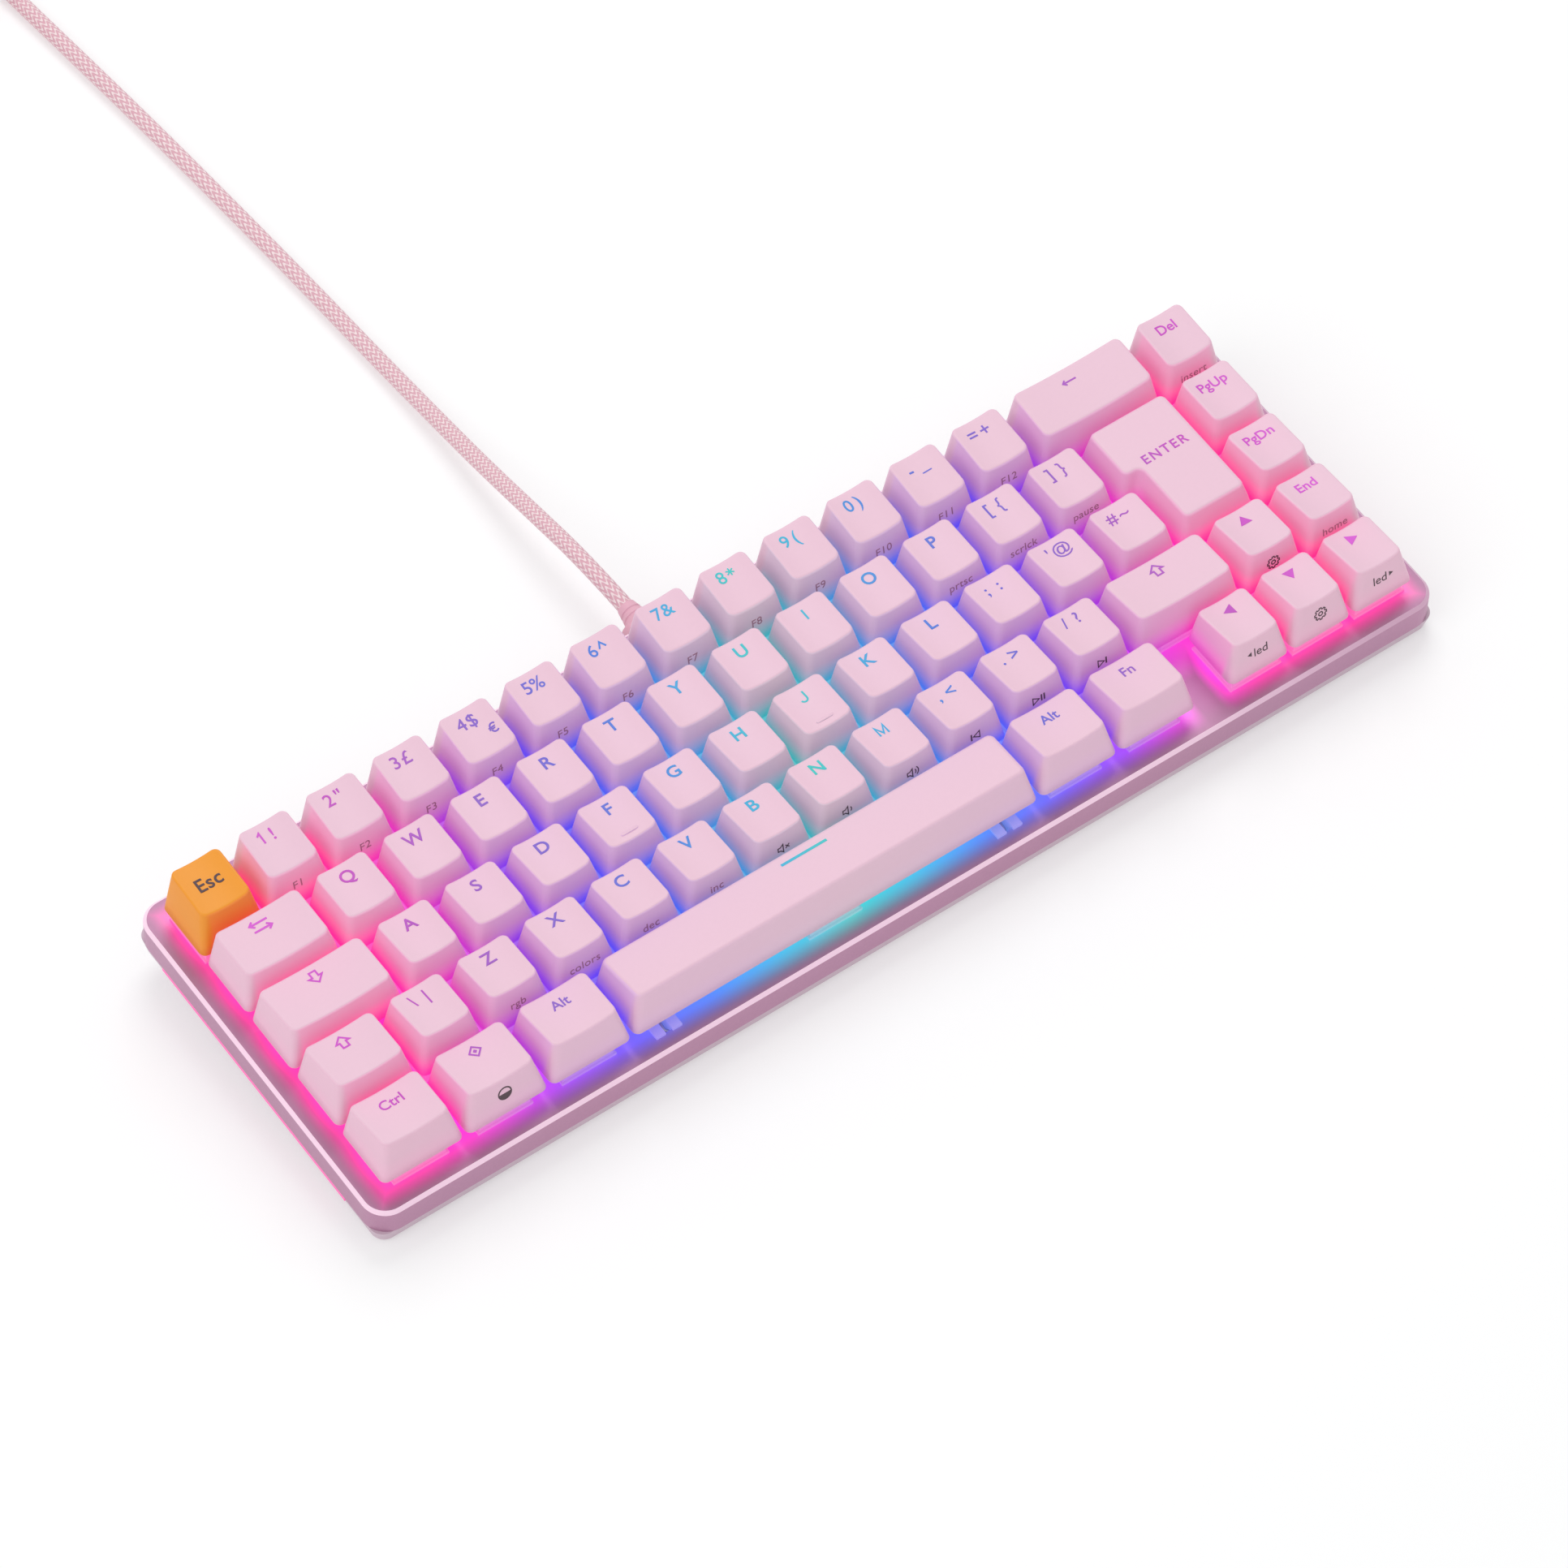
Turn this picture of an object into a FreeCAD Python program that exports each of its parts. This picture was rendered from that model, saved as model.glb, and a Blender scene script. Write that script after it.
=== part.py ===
import FreeCAD, Part
import math
import os

import Sketcher

# Compact mechanical keyboard, 68 keys, with a detachable braided USB cable.
# Millimetres. World frame: +X right, +Y to the back, +Z up, Z = 0 on the desk.
# The deck frame is the plate's own: its origin is the middle of the key field on the
# plate's top face, and it leans back by deck_tilt. Deck parts carry that lean in their
# Placement, so their own shapes are modelled flat.

V = FreeCAD.Vector
X_AXIS = V(1, 0, 0)
doc = FreeCAD.newDocument("Keyboard")

# ---------------------------------------------------------------- driving dimensions
DIMENSIONS = [
    # the deck and where it stands
    ("key_pitch", 19.05, "from one key to the next"),
    ("deck_tilt", 4.0, "lean of the plate, degrees"),
    ("deck_height", 16.45, "plate top above the desk, mid key field"),
    ("deck_shift", -0.31, "puts the outline's middle on the origin"),
    ("desk_gap", 0.8, "under the case, the pads' projection"),
    # top frame
    ("frame_width", 314.2, "outside"),
    ("frame_depth", 104.6, "outside"),
    ("frame_skirt", 8.0, "height of its side wall"),
    ("frame_wall", 1.8, "side wall"),
    ("frame_corner", 6.5, "outer corner radius"),
    ("frame_chamfer", 0.9, "polished edge"),
    ("plate_thick", 1.5, "key plate"),
    ("cutout", 14.0, "switch cutout, square"),
    ("stab_cut_width", 6.8, "stabiliser cutout"),
    ("stab_cut_front", 9.4, "in front of the key's middle"),
    ("stab_cut_back", 6.4, "behind the key's middle"),
    ("boss_width", 4.6, "screw boss under the plate"),
    ("boss_end", 9.0, "depth of the boss's end below the plate top"),
    ("screw_width", 2.0, "thread"),
    ("screw_core", 1.6, "threaded hole"),
    ("screw_head", 3.8, "head"),
    ("screw_head_thick", 1.3, "head"),
    # bottom case
    ("case_inset", 0.3, "inside the frame's outline, at its top"),
    ("case_foot_inset", 1.05, "the same, at the tray's lower edge"),
    ("case_tray", 4.0, "height of the tray"),
    ("case_corner", 3.6, "corner radius"),
    ("case_wall", 1.9, "walls and floor"),
    ("wedge_half_width", 149.0, "wedge under the tray"),
    ("wedge_front", -49.5, "wedge under the tray"),
    ("wedge_back", 50.0, "wedge under the tray"),
    ("wedge_corner", 6.0, "wedge under the tray"),
    ("case_lip", 1.6, "height of the lip inside the frame"),
    ("post_width", 6.4, "screw post"),
    # circuit board
    ("board_drop", 5.0, "board top below the plate top"),
    ("board_thick", 1.6, "board"),
    ("board_width", 304.0, "board"),
    ("board_depth", 96.0, "board"),
    # switches
    ("base_width", 13.9, "lower housing below the plate"),
    ("flange_width", 15.6, "housing rim on the plate"),
    ("flange_thick", 0.8, "housing rim"),
    ("base_cavity", 11.4, "room in the lower housing"),
    ("peg_width", 3.9, "locating peg under the housing"),
    ("peg_end", 8.2, "depth of the peg's end below the plate top"),
    ("lid_height", 6.6, "upper housing above the plate"),
    ("lid_foot", 14.6, "upper housing at its foot"),
    ("lid_head", 10.8, "upper housing at its head"),
    ("lid_wall", 1.0, "upper housing roof"),
    ("stem_width", 6.8, "slider"),
    ("stem_depth", 5.2, "slider"),
    ("stem_window", 0.35, "clearance round the slider"),
    ("stem_top", 6.5, "slider shoulder above the plate"),
    ("cross_top", 10.0, "cross above the plate"),
    ("cross_span", 4.0, "cross"),
    ("cross_thick", 1.2, "cross arm"),
    ("cross_play", 0.05, "between cross and socket"),
    ("spring_width", 3.5, "mean coil width"),
    ("spring_wire", 0.4, "wire"),
    ("spring_turns", 5, "turns"),
    # keycaps: the top face of each row, from the key's middle and the plate top
    ("cap_gap", 0.95, "between neighbouring caps at their skirts"),
    ("cap_skirt", 5.0, "skirt above the plate"),
    ("cap_lean", 2.27, "how far each side leans in, skirt to top"),
    ("cap_wall", 1.5, "side wall"),
    ("cap_roof", 1.3, "under the dish"),
    ("cap_dish", 0.8, "depth of the dish"),
    ("cap_corner", 1.8, "corner radius"),
    ("cap_post", 5.3, "post under the roof"),
    ("cap_block", 20.0, "height of the uncut blank above the plate"),
    ("number_front_y", -6.3, "number row"),
    ("number_front_z", 17.4, ""),
    ("number_back_y", 8.4, ""),
    ("number_back_z", 18.4, ""),
    ("upper_front_y", -6.4, "upper letter row"),
    ("upper_front_z", 16.1, ""),
    ("upper_back_y", 8.55, ""),
    ("upper_back_z", 15.8, ""),
    ("home_front_y", -6.35, "home row"),
    ("home_front_z", 16.35, ""),
    ("home_back_y", 8.6, ""),
    ("home_back_z", 14.7, ""),
    ("lower_front_y", -6.5, "lower letter row"),
    ("lower_front_z", 17.5, ""),
    ("lower_back_y", 8.3, ""),
    ("lower_back_z", 15.4, ""),
    ("space_front_y", -6.3, "space bar row"),
    ("space_front_z", 16.5, ""),
    ("space_back_y", 8.6, ""),
    ("space_back_z", 14.4, ""),
    ("enter_front_y", -15.9, "two-row key, from its own middle"),
    ("enter_back_y", 18.1, ""),
    ("enter_top_z", 15.6, ""),
    # stabilisers
    ("stab_reach", 11.94, "from a two-unit key's middle"),
    ("space_stab_reach", 50.0, "from the space bar's middle"),
    ("stab_width", 6.5, "housing"),
    ("stab_height", 4.4, "housing above the plate"),
    ("stab_depth", 4.6, "housing below the plate"),
    ("stab_mouth", 2.2, "round mouth for the cap's post, above the plate"),
    ("wire_width", 1.2, "wire"),
    ("wire_bend", 1.5, "middle of the wire's bends"),
    ("wire_reach", 8.6, "pivot in front of the key's middle"),
    ("wire_drop", 2.3, "pivot below the plate top"),
    ("wire_lift", 0.5, "wire's tips above the plate top, key up"),
    # fold-out feet
    ("foot_span", 30.0, "along the keyboard"),
    ("foot_length", 21.0, "pivot to tip"),
    ("foot_thick", 3.6, "foot"),
    ("foot_pin", 2.4, "pivot pin"),
    ("foot_play", 0.6, "round the foot in its well"),
    ("foot_x", 118.0, "from the middle"),
    ("foot_pivot_y", 16.0, "behind the middle"),
    ("well_roof", 1.6, "above the foot"),
    # desk pads
    ("pad_length", 26.0, "rubber pad"),
    ("pad_depth", 6.0, "rubber pad"),
    ("pad_seat", 0.6, "sunk in the case"),
    # light bars
    ("bar_length", 78.0, "side light bar"),
    ("bar_height", 1.8, "side light bar"),
    ("bar_thick", 2.2, "side light bar"),
    ("bar_inset", 0.15, "inside the frame's outline"),
    # USB port, cable and plugs
    ("port_x", -6.0, "port"),
    ("port_drop", 8.2, "port's middle below the plate top"),
    ("port_width", 9.0, "socket shell"),
    ("port_height", 3.2, "socket shell"),
    ("port_length", 7.4, "socket shell"),
    ("port_wall", 0.35, "socket shell"),
    ("port_mouth", 51.8, "socket mouth behind the key field's middle"),
    ("plug_gap", 0.6, "between the frame and the plug's moulding"),
    ("boot_width", 11.0, "plug moulding"),
    ("boot_height", 6.2, "plug moulding"),
    ("boot_length", 4.5, "plug moulding"),
    ("relief_length", 6.0, "strain relief"),
    ("relief_width", 7.4, "strain relief, wide end"),
    ("cable_width", 4.4, "braided cable"),
    ("coil_x", -42.0, "stored coil"),
    ("coil_y", 364.0, "stored coil"),
    ("coil_radius", 25.0, "middle of the turns"),
    ("coil_thick", 12.4, "bundle of turns"),
    ("coil_height", 7.1, "middle of the bundle above the desk"),
    ("tie_thick", 0.8, "tie round the bundle"),
    ("tie_width", 9.0, "tie along the bundle"),
]

sheet = doc.addObject("Spreadsheet::Sheet", "Dims")
for line, (alias, value, note) in enumerate(DIMENSIONS, 1):
    sheet.set(f"A{line}", alias)
    sheet.set(f"B{line}", str(value))
    sheet.set(f"C{line}", note)
    sheet.setAlias(f"B{line}", alias)
doc.recompute()


def dim(alias):
    return float(sheet.get(alias))


# Key plan: for each row its middle, then (name, width in units) from the left.
# A None is a gap. Rows are counted in key pitches from the middle of the field.
KEY_ROWS = [
    ("number", 2, [("esc", 1), ("1", 1), ("2", 1), ("3", 1), ("4", 1), ("5", 1), ("6", 1), ("7", 1),
                   ("8", 1), ("9", 1), ("0", 1), ("minus", 1), ("equals", 1), ("backspace", 2),
                   ("delete", 1)]),
    ("upper", 1, [("tab", 1.5), ("q", 1), ("w", 1), ("e", 1), ("r", 1), ("t", 1), ("y", 1), ("u", 1),
                  ("i", 1), ("o", 1), ("p", 1), ("left_bracket", 1), ("right_bracket", 1), (None, 1.5),
                  ("page_up", 1)]),
    ("home", 0, [("caps_lock", 1.75), ("a", 1), ("s", 1), ("d", 1), ("f", 1), ("g", 1), ("h", 1),
                 ("j", 1), ("k", 1), ("l", 1), ("semicolon", 1), ("quote", 1), ("hash", 1), (None, 1.25),
                 ("page_down", 1)]),
    ("lower", -1, [("left_shift", 1.25), ("backslash", 1), ("z", 1), ("x", 1), ("c", 1), ("v", 1), ("b", 1),
                   ("n", 1), ("m", 1), ("comma", 1), ("period", 1), ("slash", 1), ("right_shift", 1.75),
                   ("arrow_up", 1), ("end", 1)]),
    ("space", -2, [("left_ctrl", 1.25), ("system", 1.25), ("left_alt", 1.25), ("space", 6.25),
                   ("right_alt", 1.25), ("fn", 1.25), (None, 0.5), ("arrow_left", 1), ("arrow_down", 1),
                   ("arrow_right", 1)]),
]
FIELD_UNITS = 16
ENTER_UNITS = (6.375, 0.5)     # middle of the two-row key, in key pitches
SCREWS_X = (-140.0, 0.0, 140.0)
SCREW_ROW_UNITS = 1.5          # screws stand on the webs between rows


class Key:
    """A key's place in the deck frame, in key pitches, and its kind of cap."""

    def __init__(self, name, row, units, ux, uy):
        self.name, self.row, self.units, self.ux, self.uy = name, row, units, ux, uy

    @property
    def place(self):
        return V(self.ux * dim("key_pitch"), self.uy * dim("key_pitch"), 0)


KEYS = []
for row, uy, caps in KEY_ROWS:
    left = -FIELD_UNITS / 2
    for name, units in caps:
        if name:
            KEYS.append(Key(name, row, units, left + units / 2, uy))
        left += units
KEYS.append(Key("enter", "enter", 0, *ENTER_UNITS))
BY_NAME = {key.name: key for key in KEYS}

# the keys whose cap and stem are a body of their own; the rest travel in three blocks
BLOCKS = {
    "number_keys": ["1", "2", "3", "4", "5", "6", "7", "8", "9", "0", "minus", "equals"],
    "upper_letter_keys": ["q", "w", "e", "r", "t", "y", "u", "i", "o", "p", "left_bracket",
                          "right_bracket"],
    "lower_letter_keys": ["backslash", "z", "x", "c", "v", "b", "n", "m", "comma", "period", "slash",
                          "hash"],
}

# ---------------------------------------------------------------- helpers
def on_deck(thing, ux=None, uy=None, x=None, y=None, z=None):
    """Places a flat-modelled part on the leaning deck, at key pitches (ux, uy) or expressions x, y, z."""
    along = f"({ux} * Dims.key_pitch)" if ux is not None else f"({x or 0})"
    back = f"({uy} * Dims.key_pitch)" if uy is not None else f"({y or 0})"
    up = f"({z or 0})"
    thing.Placement = FreeCAD.Placement(V(), FreeCAD.Rotation(X_AXIS, dim("deck_tilt")))
    thing.setExpression(".Placement.Rotation.Angle", "Dims.deck_tilt")
    thing.setExpression(".Placement.Base.x", along)
    level = f"{back} * cos(Dims.deck_tilt) - {up} * sin(Dims.deck_tilt)"
    height = f"{back} * sin(Dims.deck_tilt) + {up} * cos(Dims.deck_tilt)"
    thing.setExpression(".Placement.Base.y", f"{level} + Dims.deck_shift")
    thing.setExpression(".Placement.Base.z", f"{height} + Dims.deck_height")
    return thing


def deck_placement():
    tilt = FreeCAD.Rotation(X_AXIS, dim("deck_tilt"))
    return FreeCAD.Placement(V(0, dim("deck_shift"), dim("deck_height")), tilt)


def new_body(label):
    body = doc.addObject("PartDesign::Body", label)
    body.Label = label
    return body


def new_sketch(body, name, height="0"):
    """A sketch on a plane parallel to the body's XY plane."""
    sketch = body.newObject("Sketcher::SketchObject", name)
    plane = next(f for f in body.Origin.OriginFeatures if f.Role == "XY_Plane")
    sketch.AttachmentSupport = [(plane, "")]
    sketch.MapMode = "FlatFace"
    sketch.setExpression("AttachmentOffset.Base.z", height)
    return sketch


def outline(sketch, points):
    """A closed outline of straight edges; points are pairs of expressions."""
    start = [V(*[evaluate(sketch, p) for p in pair], 0) for pair in points]
    first = sketch.GeometryCount
    count = len(points)
    for n in range(count):
        sketch.addGeometry(Part.LineSegment(start[n], start[(n + 1) % count]), False)
    for n in range(count):
        sketch.addConstraint(Sketcher.Constraint("Coincident", first + n, 2, first + (n + 1) % count, 1))
    for n, (x, y) in enumerate(points):
        for kind, text, at in (("DistanceX", x, start[n].x), ("DistanceY", y, start[n].y)):
            held = sketch.addConstraint(Sketcher.Constraint(kind, -1, 1, first + n, 1, at))
            sketch.setExpression(f"Constraints[{held}]", text)


def evaluate(thing, text):
    found = thing.evalExpression(text)
    return float(getattr(found, "Value", found))


def rectangle(sketch, left, right, front, back):
    outline(sketch, [(left, front), (right, front), (right, back), (left, back)])


def centred(sketch, width, depth):
    rectangle(sketch, f"-({width}) / 2", f"({width}) / 2", f"-({depth}) / 2", f"({depth}) / 2")


def circle(sketch, width):
    """A circle about the body's own Z axis."""
    ring = sketch.addGeometry(Part.Circle(V(), V(0, 0, 1), evaluate(sketch, width) / 2), False)
    sketch.addConstraint(Sketcher.Constraint("Coincident", ring, 3, -1, 1))
    size = sketch.addConstraint(Sketcher.Constraint("Diameter", ring, evaluate(sketch, width)))
    sketch.setExpression(f"Constraints[{size}]", width)


def extrude(body, kind, sketch, length, up):
    """A Pad or Pocket of the sketch, upwards or downwards."""
    feature = body.newObject(f"PartDesign::{kind}", f"{sketch.Name}_{kind}")
    feature.Profile = sketch
    feature.setExpression("Length", length)
    feature.Reversed = (kind == "Pocket") == up
    sketch.Visibility = False
    doc.recompute()
    return feature


def wedge(body, kind, name, low, high):
    """A block with level ends; low and high are (left, right, front, back, height) as expressions."""
    feature = body.newObject(f"PartDesign::{kind}Wedge", name)
    # on the XZ plane the wedge's own Y runs up and its Z runs forwards
    plane = next(f for f in body.Origin.OriginFeatures if f.Role == "XZ_Plane")
    feature.AttachmentSupport = [(plane, "")]
    feature.MapMode = "FlatFace"
    sizes = {}
    for side, (left, right, front, back, height) in (("", low), ("2", high)):
        sizes[f"X{side}min"], sizes[f"X{side}max"] = left, right
        sizes[f"Z{side}min"], sizes[f"Z{side}max"] = f"-({back})", f"-({front})"
        sizes["Ymax" if side else "Ymin"] = height
    for size, text in sizes.items():
        setattr(feature, size, evaluate(feature, text))
        feature.setExpression(size, text)
    doc.recompute()
    return feature


def dress(body, kind, base, chosen, size):
    """A Fillet or Chamfer of the base feature's edges that chosen(edge) picks."""
    names = [f"Edge{n}" for n, edge in enumerate(base.Shape.Edges, 1) if chosen(edge)]
    feature = body.newObject(f"PartDesign::{kind}", f"{base.Name}_{kind}")
    feature.Base = (base, names)
    feature.setExpression("Radius" if kind == "Fillet" else "Size", size)
    doc.recompute()
    return feature


def upright(edge):
    """An edge that runs mostly up and down."""
    box = edge.BoundBox
    return box.ZLength > 2 * max(box.XLength, box.YLength, 0.01)


def feature_of(label, shape):
    """A sub-part or tool whose shape is set by code."""
    thing = doc.addObject("Part::Feature", label)
    thing.Label = label
    thing.Shape = shape
    return thing


def cut(label, base, tool):
    thing = doc.addObject("Part::Cut", label)
    thing.Label = label
    thing.Base = base
    thing.Tool = tool
    doc.recompute()
    return thing


def fuse(label, *pieces):
    thing = doc.addObject("Part::MultiFuse", label)
    thing.Label = label
    thing.Shapes = list(pieces)
    doc.recompute()
    return thing


def compound(label, pieces):
    thing = doc.addObject("Part::Compound", label)
    thing.Label = label
    thing.Links = list(pieces)
    return thing


def block(x0, x1, y0, y1, z0, z1):
    return Part.makeBox(x1 - x0, y1 - y0, z1 - z0, V(x0, y0, z0))


def copies(label, shape, places):
    """One node of identical solids, each modelled flat and standing on the deck."""
    placed = []
    for place in places:
        one = shape.copy()
        one.translate(place)
        placed.append(one)
    thing = feature_of(label, Part.makeCompound(placed))
    thing.Placement = deck_placement()
    return thing


SWITCH_PLACES = [key.place for key in KEYS]
PARTS = []


def keep(thing):
    PARTS.append(thing)
    return thing


# ---------------------------------------------------------------- stabiliser places
def stabiliser_places():
    """The middles of the stabilisers' pairs, and which way their key is long."""
    space, back, enter = BY_NAME["space"].place, BY_NAME["backspace"].place, BY_NAME["enter"].place
    near, far = dim("stab_reach"), dim("space_stab_reach")
    return {
        "space": [space + V(s * far, 0, 0) for s in (-1, 1)],
        "backspace": [back + V(s * near, 0, 0) for s in (-1, 1)],
        "enter": [enter + V(0, s * near, 0) for s in (-1, 1)],
    }


STABS = stabiliser_places()
# the enter key's stabilisers are turned a quarter turn, so that their wire runs front to back
STAB_TURN = {"space": 0, "backspace": 0, "enter": 90}


def turned(shape, angle, place):
    shape = shape.copy()
    shape.rotate(V(), V(0, 0, 1), angle)
    shape.translate(place)
    return shape


# ---------------------------------------------------------------- top frame
def top_frame():
    """Anodised plate and skirt in one: pad, rounded corners, polished chamfer, hollow underside."""
    body = new_body("top_frame_blank")
    sketch = new_sketch(body, "FrameOutline", "-Dims.frame_skirt")
    centred(sketch, "Dims.frame_width", "Dims.frame_depth")
    pad = extrude(body, "Pad", sketch, "Dims.frame_skirt", True)
    rounded = dress(body, "Fillet", pad, upright, "Dims.frame_corner")
    edge_top = lambda edge: edge.BoundBox.ZMin > -1e-3
    dress(body, "Chamfer", rounded, edge_top, "Dims.frame_chamfer")
    half, thick = dim("cutout") / 2, dim("plate_thick")
    tools = [block(-half, half, -half, half, -thick - 1, 1).translated(place) for place in SWITCH_PLACES]
    wall = dim("frame_wall")
    tools.append(rounded_block(dim("frame_width") / 2 - wall, dim("frame_depth") / 2 - wall,
                               -dim("frame_skirt") - 1, -thick, dim("frame_corner") - wall))
    width = dim("stab_cut_width") / 2
    for name, places in STABS.items():
        hole = block(-width, width, -dim("stab_cut_front"), dim("stab_cut_back"), -thick - 1, 1)
        tools += [turned(hole, STAB_TURN[name], place) for place in places]
    tools.append(port_opening())
    bored = cut("plate_bored", body, feature_of("frame_cutters", Part.makeCompound(tools)))
    bosses = feature_of("frame_bosses", Part.makeCompound(
        [Part.makeCylinder(dim("boss_width") / 2, dim("boss_end") - thick, V(x, y, -dim("boss_end")))
         for x, y in screw_places()]))
    threads = feature_of("frame_threads", Part.makeCompound(
        [Part.makeCylinder(dim("screw_core") / 2, dim("boss_end") - thick, V(x, y, -dim("boss_end") - 0.5))
         for x, y in screw_places()]))
    return keep(on_deck(cut("top_frame", fuse("frame_with_bosses", bored, bosses), threads)))


def screw_places():
    y = SCREW_ROW_UNITS * dim("key_pitch")
    return [(x, s * y) for x in SCREWS_X for s in (-1, 1)]


def port_opening():
    """Room for the socket, through the frame's skirt and the case's wall."""
    half, tall = dim("port_width") / 2 + 0.3, dim("port_height") / 2 + 0.3
    middle, back = -dim("port_drop"), dim("frame_depth") / 2
    x = dim("port_x")
    return block(x - half, x + half, back - 8, back + 2, middle - tall, middle + tall)


# ---------------------------------------------------------------- bottom case
def desk_slab(lift):
    """A big block under the plane that lies lift above the desk, in the deck frame."""
    slab = block(-200, 200, -200, 200, -60, 0)
    slab.translate(V(0, 0, lift))
    slab.Placement = deck_placement().inverse() * slab.Placement
    return slab


def tray_section(inset, height):
    half_width, half_depth = f"(Dims.frame_width / 2 - {inset})", f"(Dims.frame_depth / 2 - {inset})"
    return f"-{half_width}", half_width, f"-{half_depth}", half_depth, height


def bottom_case():
    """Drafted tray on a wedge that stands level, hollowed, with a lip, posts, foot wells and pad seats."""
    body = new_body("case_tray_blank")
    low = tray_section("Dims.case_foot_inset", "-Dims.frame_skirt - Dims.case_tray")
    tray = wedge(body, "Additive", "Tray", low, tray_section("Dims.case_inset", "-Dims.frame_skirt"))
    dress(body, "Fillet", tray, upright, "Dims.case_corner")
    skirt, wall = dim("frame_skirt"), dim("case_wall")
    foot = wedge_block(0, -30, -skirt - 1).cut(desk_slab(dim("desk_gap")))
    blank = fuse("case_blank", body, feature_of("case_wedge", foot))
    room = wedge_block(wall, -30, -skirt + 1).cut(desk_slab(dim("desk_gap") + wall))
    tray_room = rounded_block(dim("frame_width") / 2 - 3.5, dim("frame_depth") / 2 - 3.3,
                              -skirt - dim("case_tray") + wall, -skirt + 1, 1.0)
    hollow = cut("case_hollow", blank, feature_of("case_room", tray_room.fuse(room)))
    inset = dim("frame_wall") + 0.2
    outer_x, outer_y = dim("frame_width") / 2 - inset, dim("frame_depth") / 2 - inset
    inner_x, inner_y = outer_x - 1.3, outer_y - 1.3
    lip_top = -skirt + dim("case_lip")
    lip = rounded_block(outer_x, outer_y, -skirt - 0.5, lip_top, dim("frame_corner") - inset)
    lip = lip.cut(block(-inner_x, inner_x, -inner_y, inner_y, -skirt - 1, lip_top + 1))
    post_foot = -dim("boss_end") - 12
    ribs = [Part.makeCylinder(dim("post_width") / 2, 12, V(x, y, post_foot)) for x, y in screw_places()]
    ribs += [well_block(side) for side in (-1, 1)]
    ribs = Part.makeCompound(ribs).cut(desk_slab(dim("desk_gap")))
    whole = fuse("case_with_ribs", hollow, feature_of("case_ribs", ribs), feature_of("case_rim", lip))
    tools = [port_opening()]
    head_depth = dim("boss_end") + 1.2 + dim("screw_head_thick")
    head_room = dim("screw_head") / 2 + 0.3
    for x, y in screw_places():
        tools.append(Part.makeCylinder(dim("screw_width") / 2 + 0.2, 30, V(x, y, -30)))
        tools.append(Part.makeCylinder(head_room, 30, V(x, y, -head_depth - 30)))
        tools.append(Part.makeCylinder(head_room, dim("screw_head_thick"), V(x, y, -head_depth)))
    tools += [foot_well(side) for side in (-1, 1)]
    tools += [to_deck(pad_box(x, y, -1)) for x, y in pad_places()]
    tools += [light_bar_box(side, 0.1) for side in (-1, 1)]
    return keep(on_deck(cut("bottom_case", whole, feature_of("case_cutters", Part.makeCompound(tools)))))


def wedge_block(inset, z0, z1):
    half = dim("wedge_half_width") - inset
    front, back = dim("wedge_front") + inset, dim("wedge_back") - inset
    middle = (front + back) / 2
    solid = rounded_block(half, (back - front) / 2, z0, z1, dim("wedge_corner") - inset)
    return solid.translated(V(0, middle, 0))


def rounded_block(half_x, half_y, z0, z1, radius):
    solid = block(-half_x, half_x, -half_y, half_y, z0, z1)
    corners = [e for e in solid.Edges if upright(e)]
    return solid.makeFillet(radius, corners)


# ---------------------------------------------------------------- things that sit in the case's floor
def to_deck(shape):
    """A shape given in the world frame, seen from the deck frame."""
    shape = shape.copy()
    shape.Placement = deck_placement().inverse() * shape.Placement
    return shape


def foot_box(side, grow, z0, z1):
    x, y = side * dim("foot_x"), dim("foot_pivot_y")
    half, thick = dim("foot_span") / 2 + grow, dim("foot_thick") / 2
    return block(x - half, x + half, y - thick - grow, y + dim("foot_length") + grow, z0, z1)


def well_top():
    return dim("desk_gap") + 0.2 + dim("foot_thick") + dim("foot_play")


def well_block(side):
    return to_deck(foot_box(side, dim("foot_play") + dim("case_wall"), 0, well_top() + dim("well_roof")))


def foot_well(side):
    """The pocket that the folded foot lies in, with its two pin holes."""
    well = foot_box(side, dim("foot_play"), -1, well_top())
    pin = Part.makeCylinder(dim("foot_pin") / 2 + 0.1, dim("foot_span") + 3.6, foot_axis(side, 1.8), X_AXIS)
    return to_deck(well.fuse(pin))


def foot_axis(side, beyond):
    """The left end of the foot's pin, beyond the foot's own end."""
    x = side * dim("foot_x") - dim("foot_span") / 2 - beyond
    return V(x, dim("foot_pivot_y"), dim("desk_gap") + 0.2 + dim("foot_thick") / 2)


def fold_foot(side, label):
    """A flat leg with a round heel, two pin stubs and a scooped tip."""
    axis = foot_axis(side, 0)
    leg = foot_box(side, 0, axis.z - dim("foot_thick") / 2, axis.z + dim("foot_thick") / 2)
    leg = leg.cut(block(-200, 200, axis.y - 20, axis.y, -5, 20))
    heel = Part.makeCylinder(dim("foot_thick") / 2, dim("foot_span"), axis, X_AXIS)
    pin = Part.makeCylinder(dim("foot_pin") / 2, dim("foot_span") + 3.0, foot_axis(side, 1.5), X_AXIS)
    grip_start = V(side * dim("foot_x") - 6, axis.y + dim("foot_length") + 2.2, axis.z - 3)
    grip = Part.makeCylinder(4, 12, grip_start, X_AXIS)
    return keep(feature_of(label, leg.fuse([heel, pin]).cut(grip).removeSplitter()))


def pad_places():
    return [(x, y) for x in (-128.0, 128.0) for y in (-44.0, 44.0)]


def pad_box(x, y, z0):
    length, depth = dim("pad_length") / 2, dim("pad_depth") / 2
    return block(x - length, x + length, y - depth, y + depth, z0, dim("desk_gap") + dim("pad_seat"))


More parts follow.
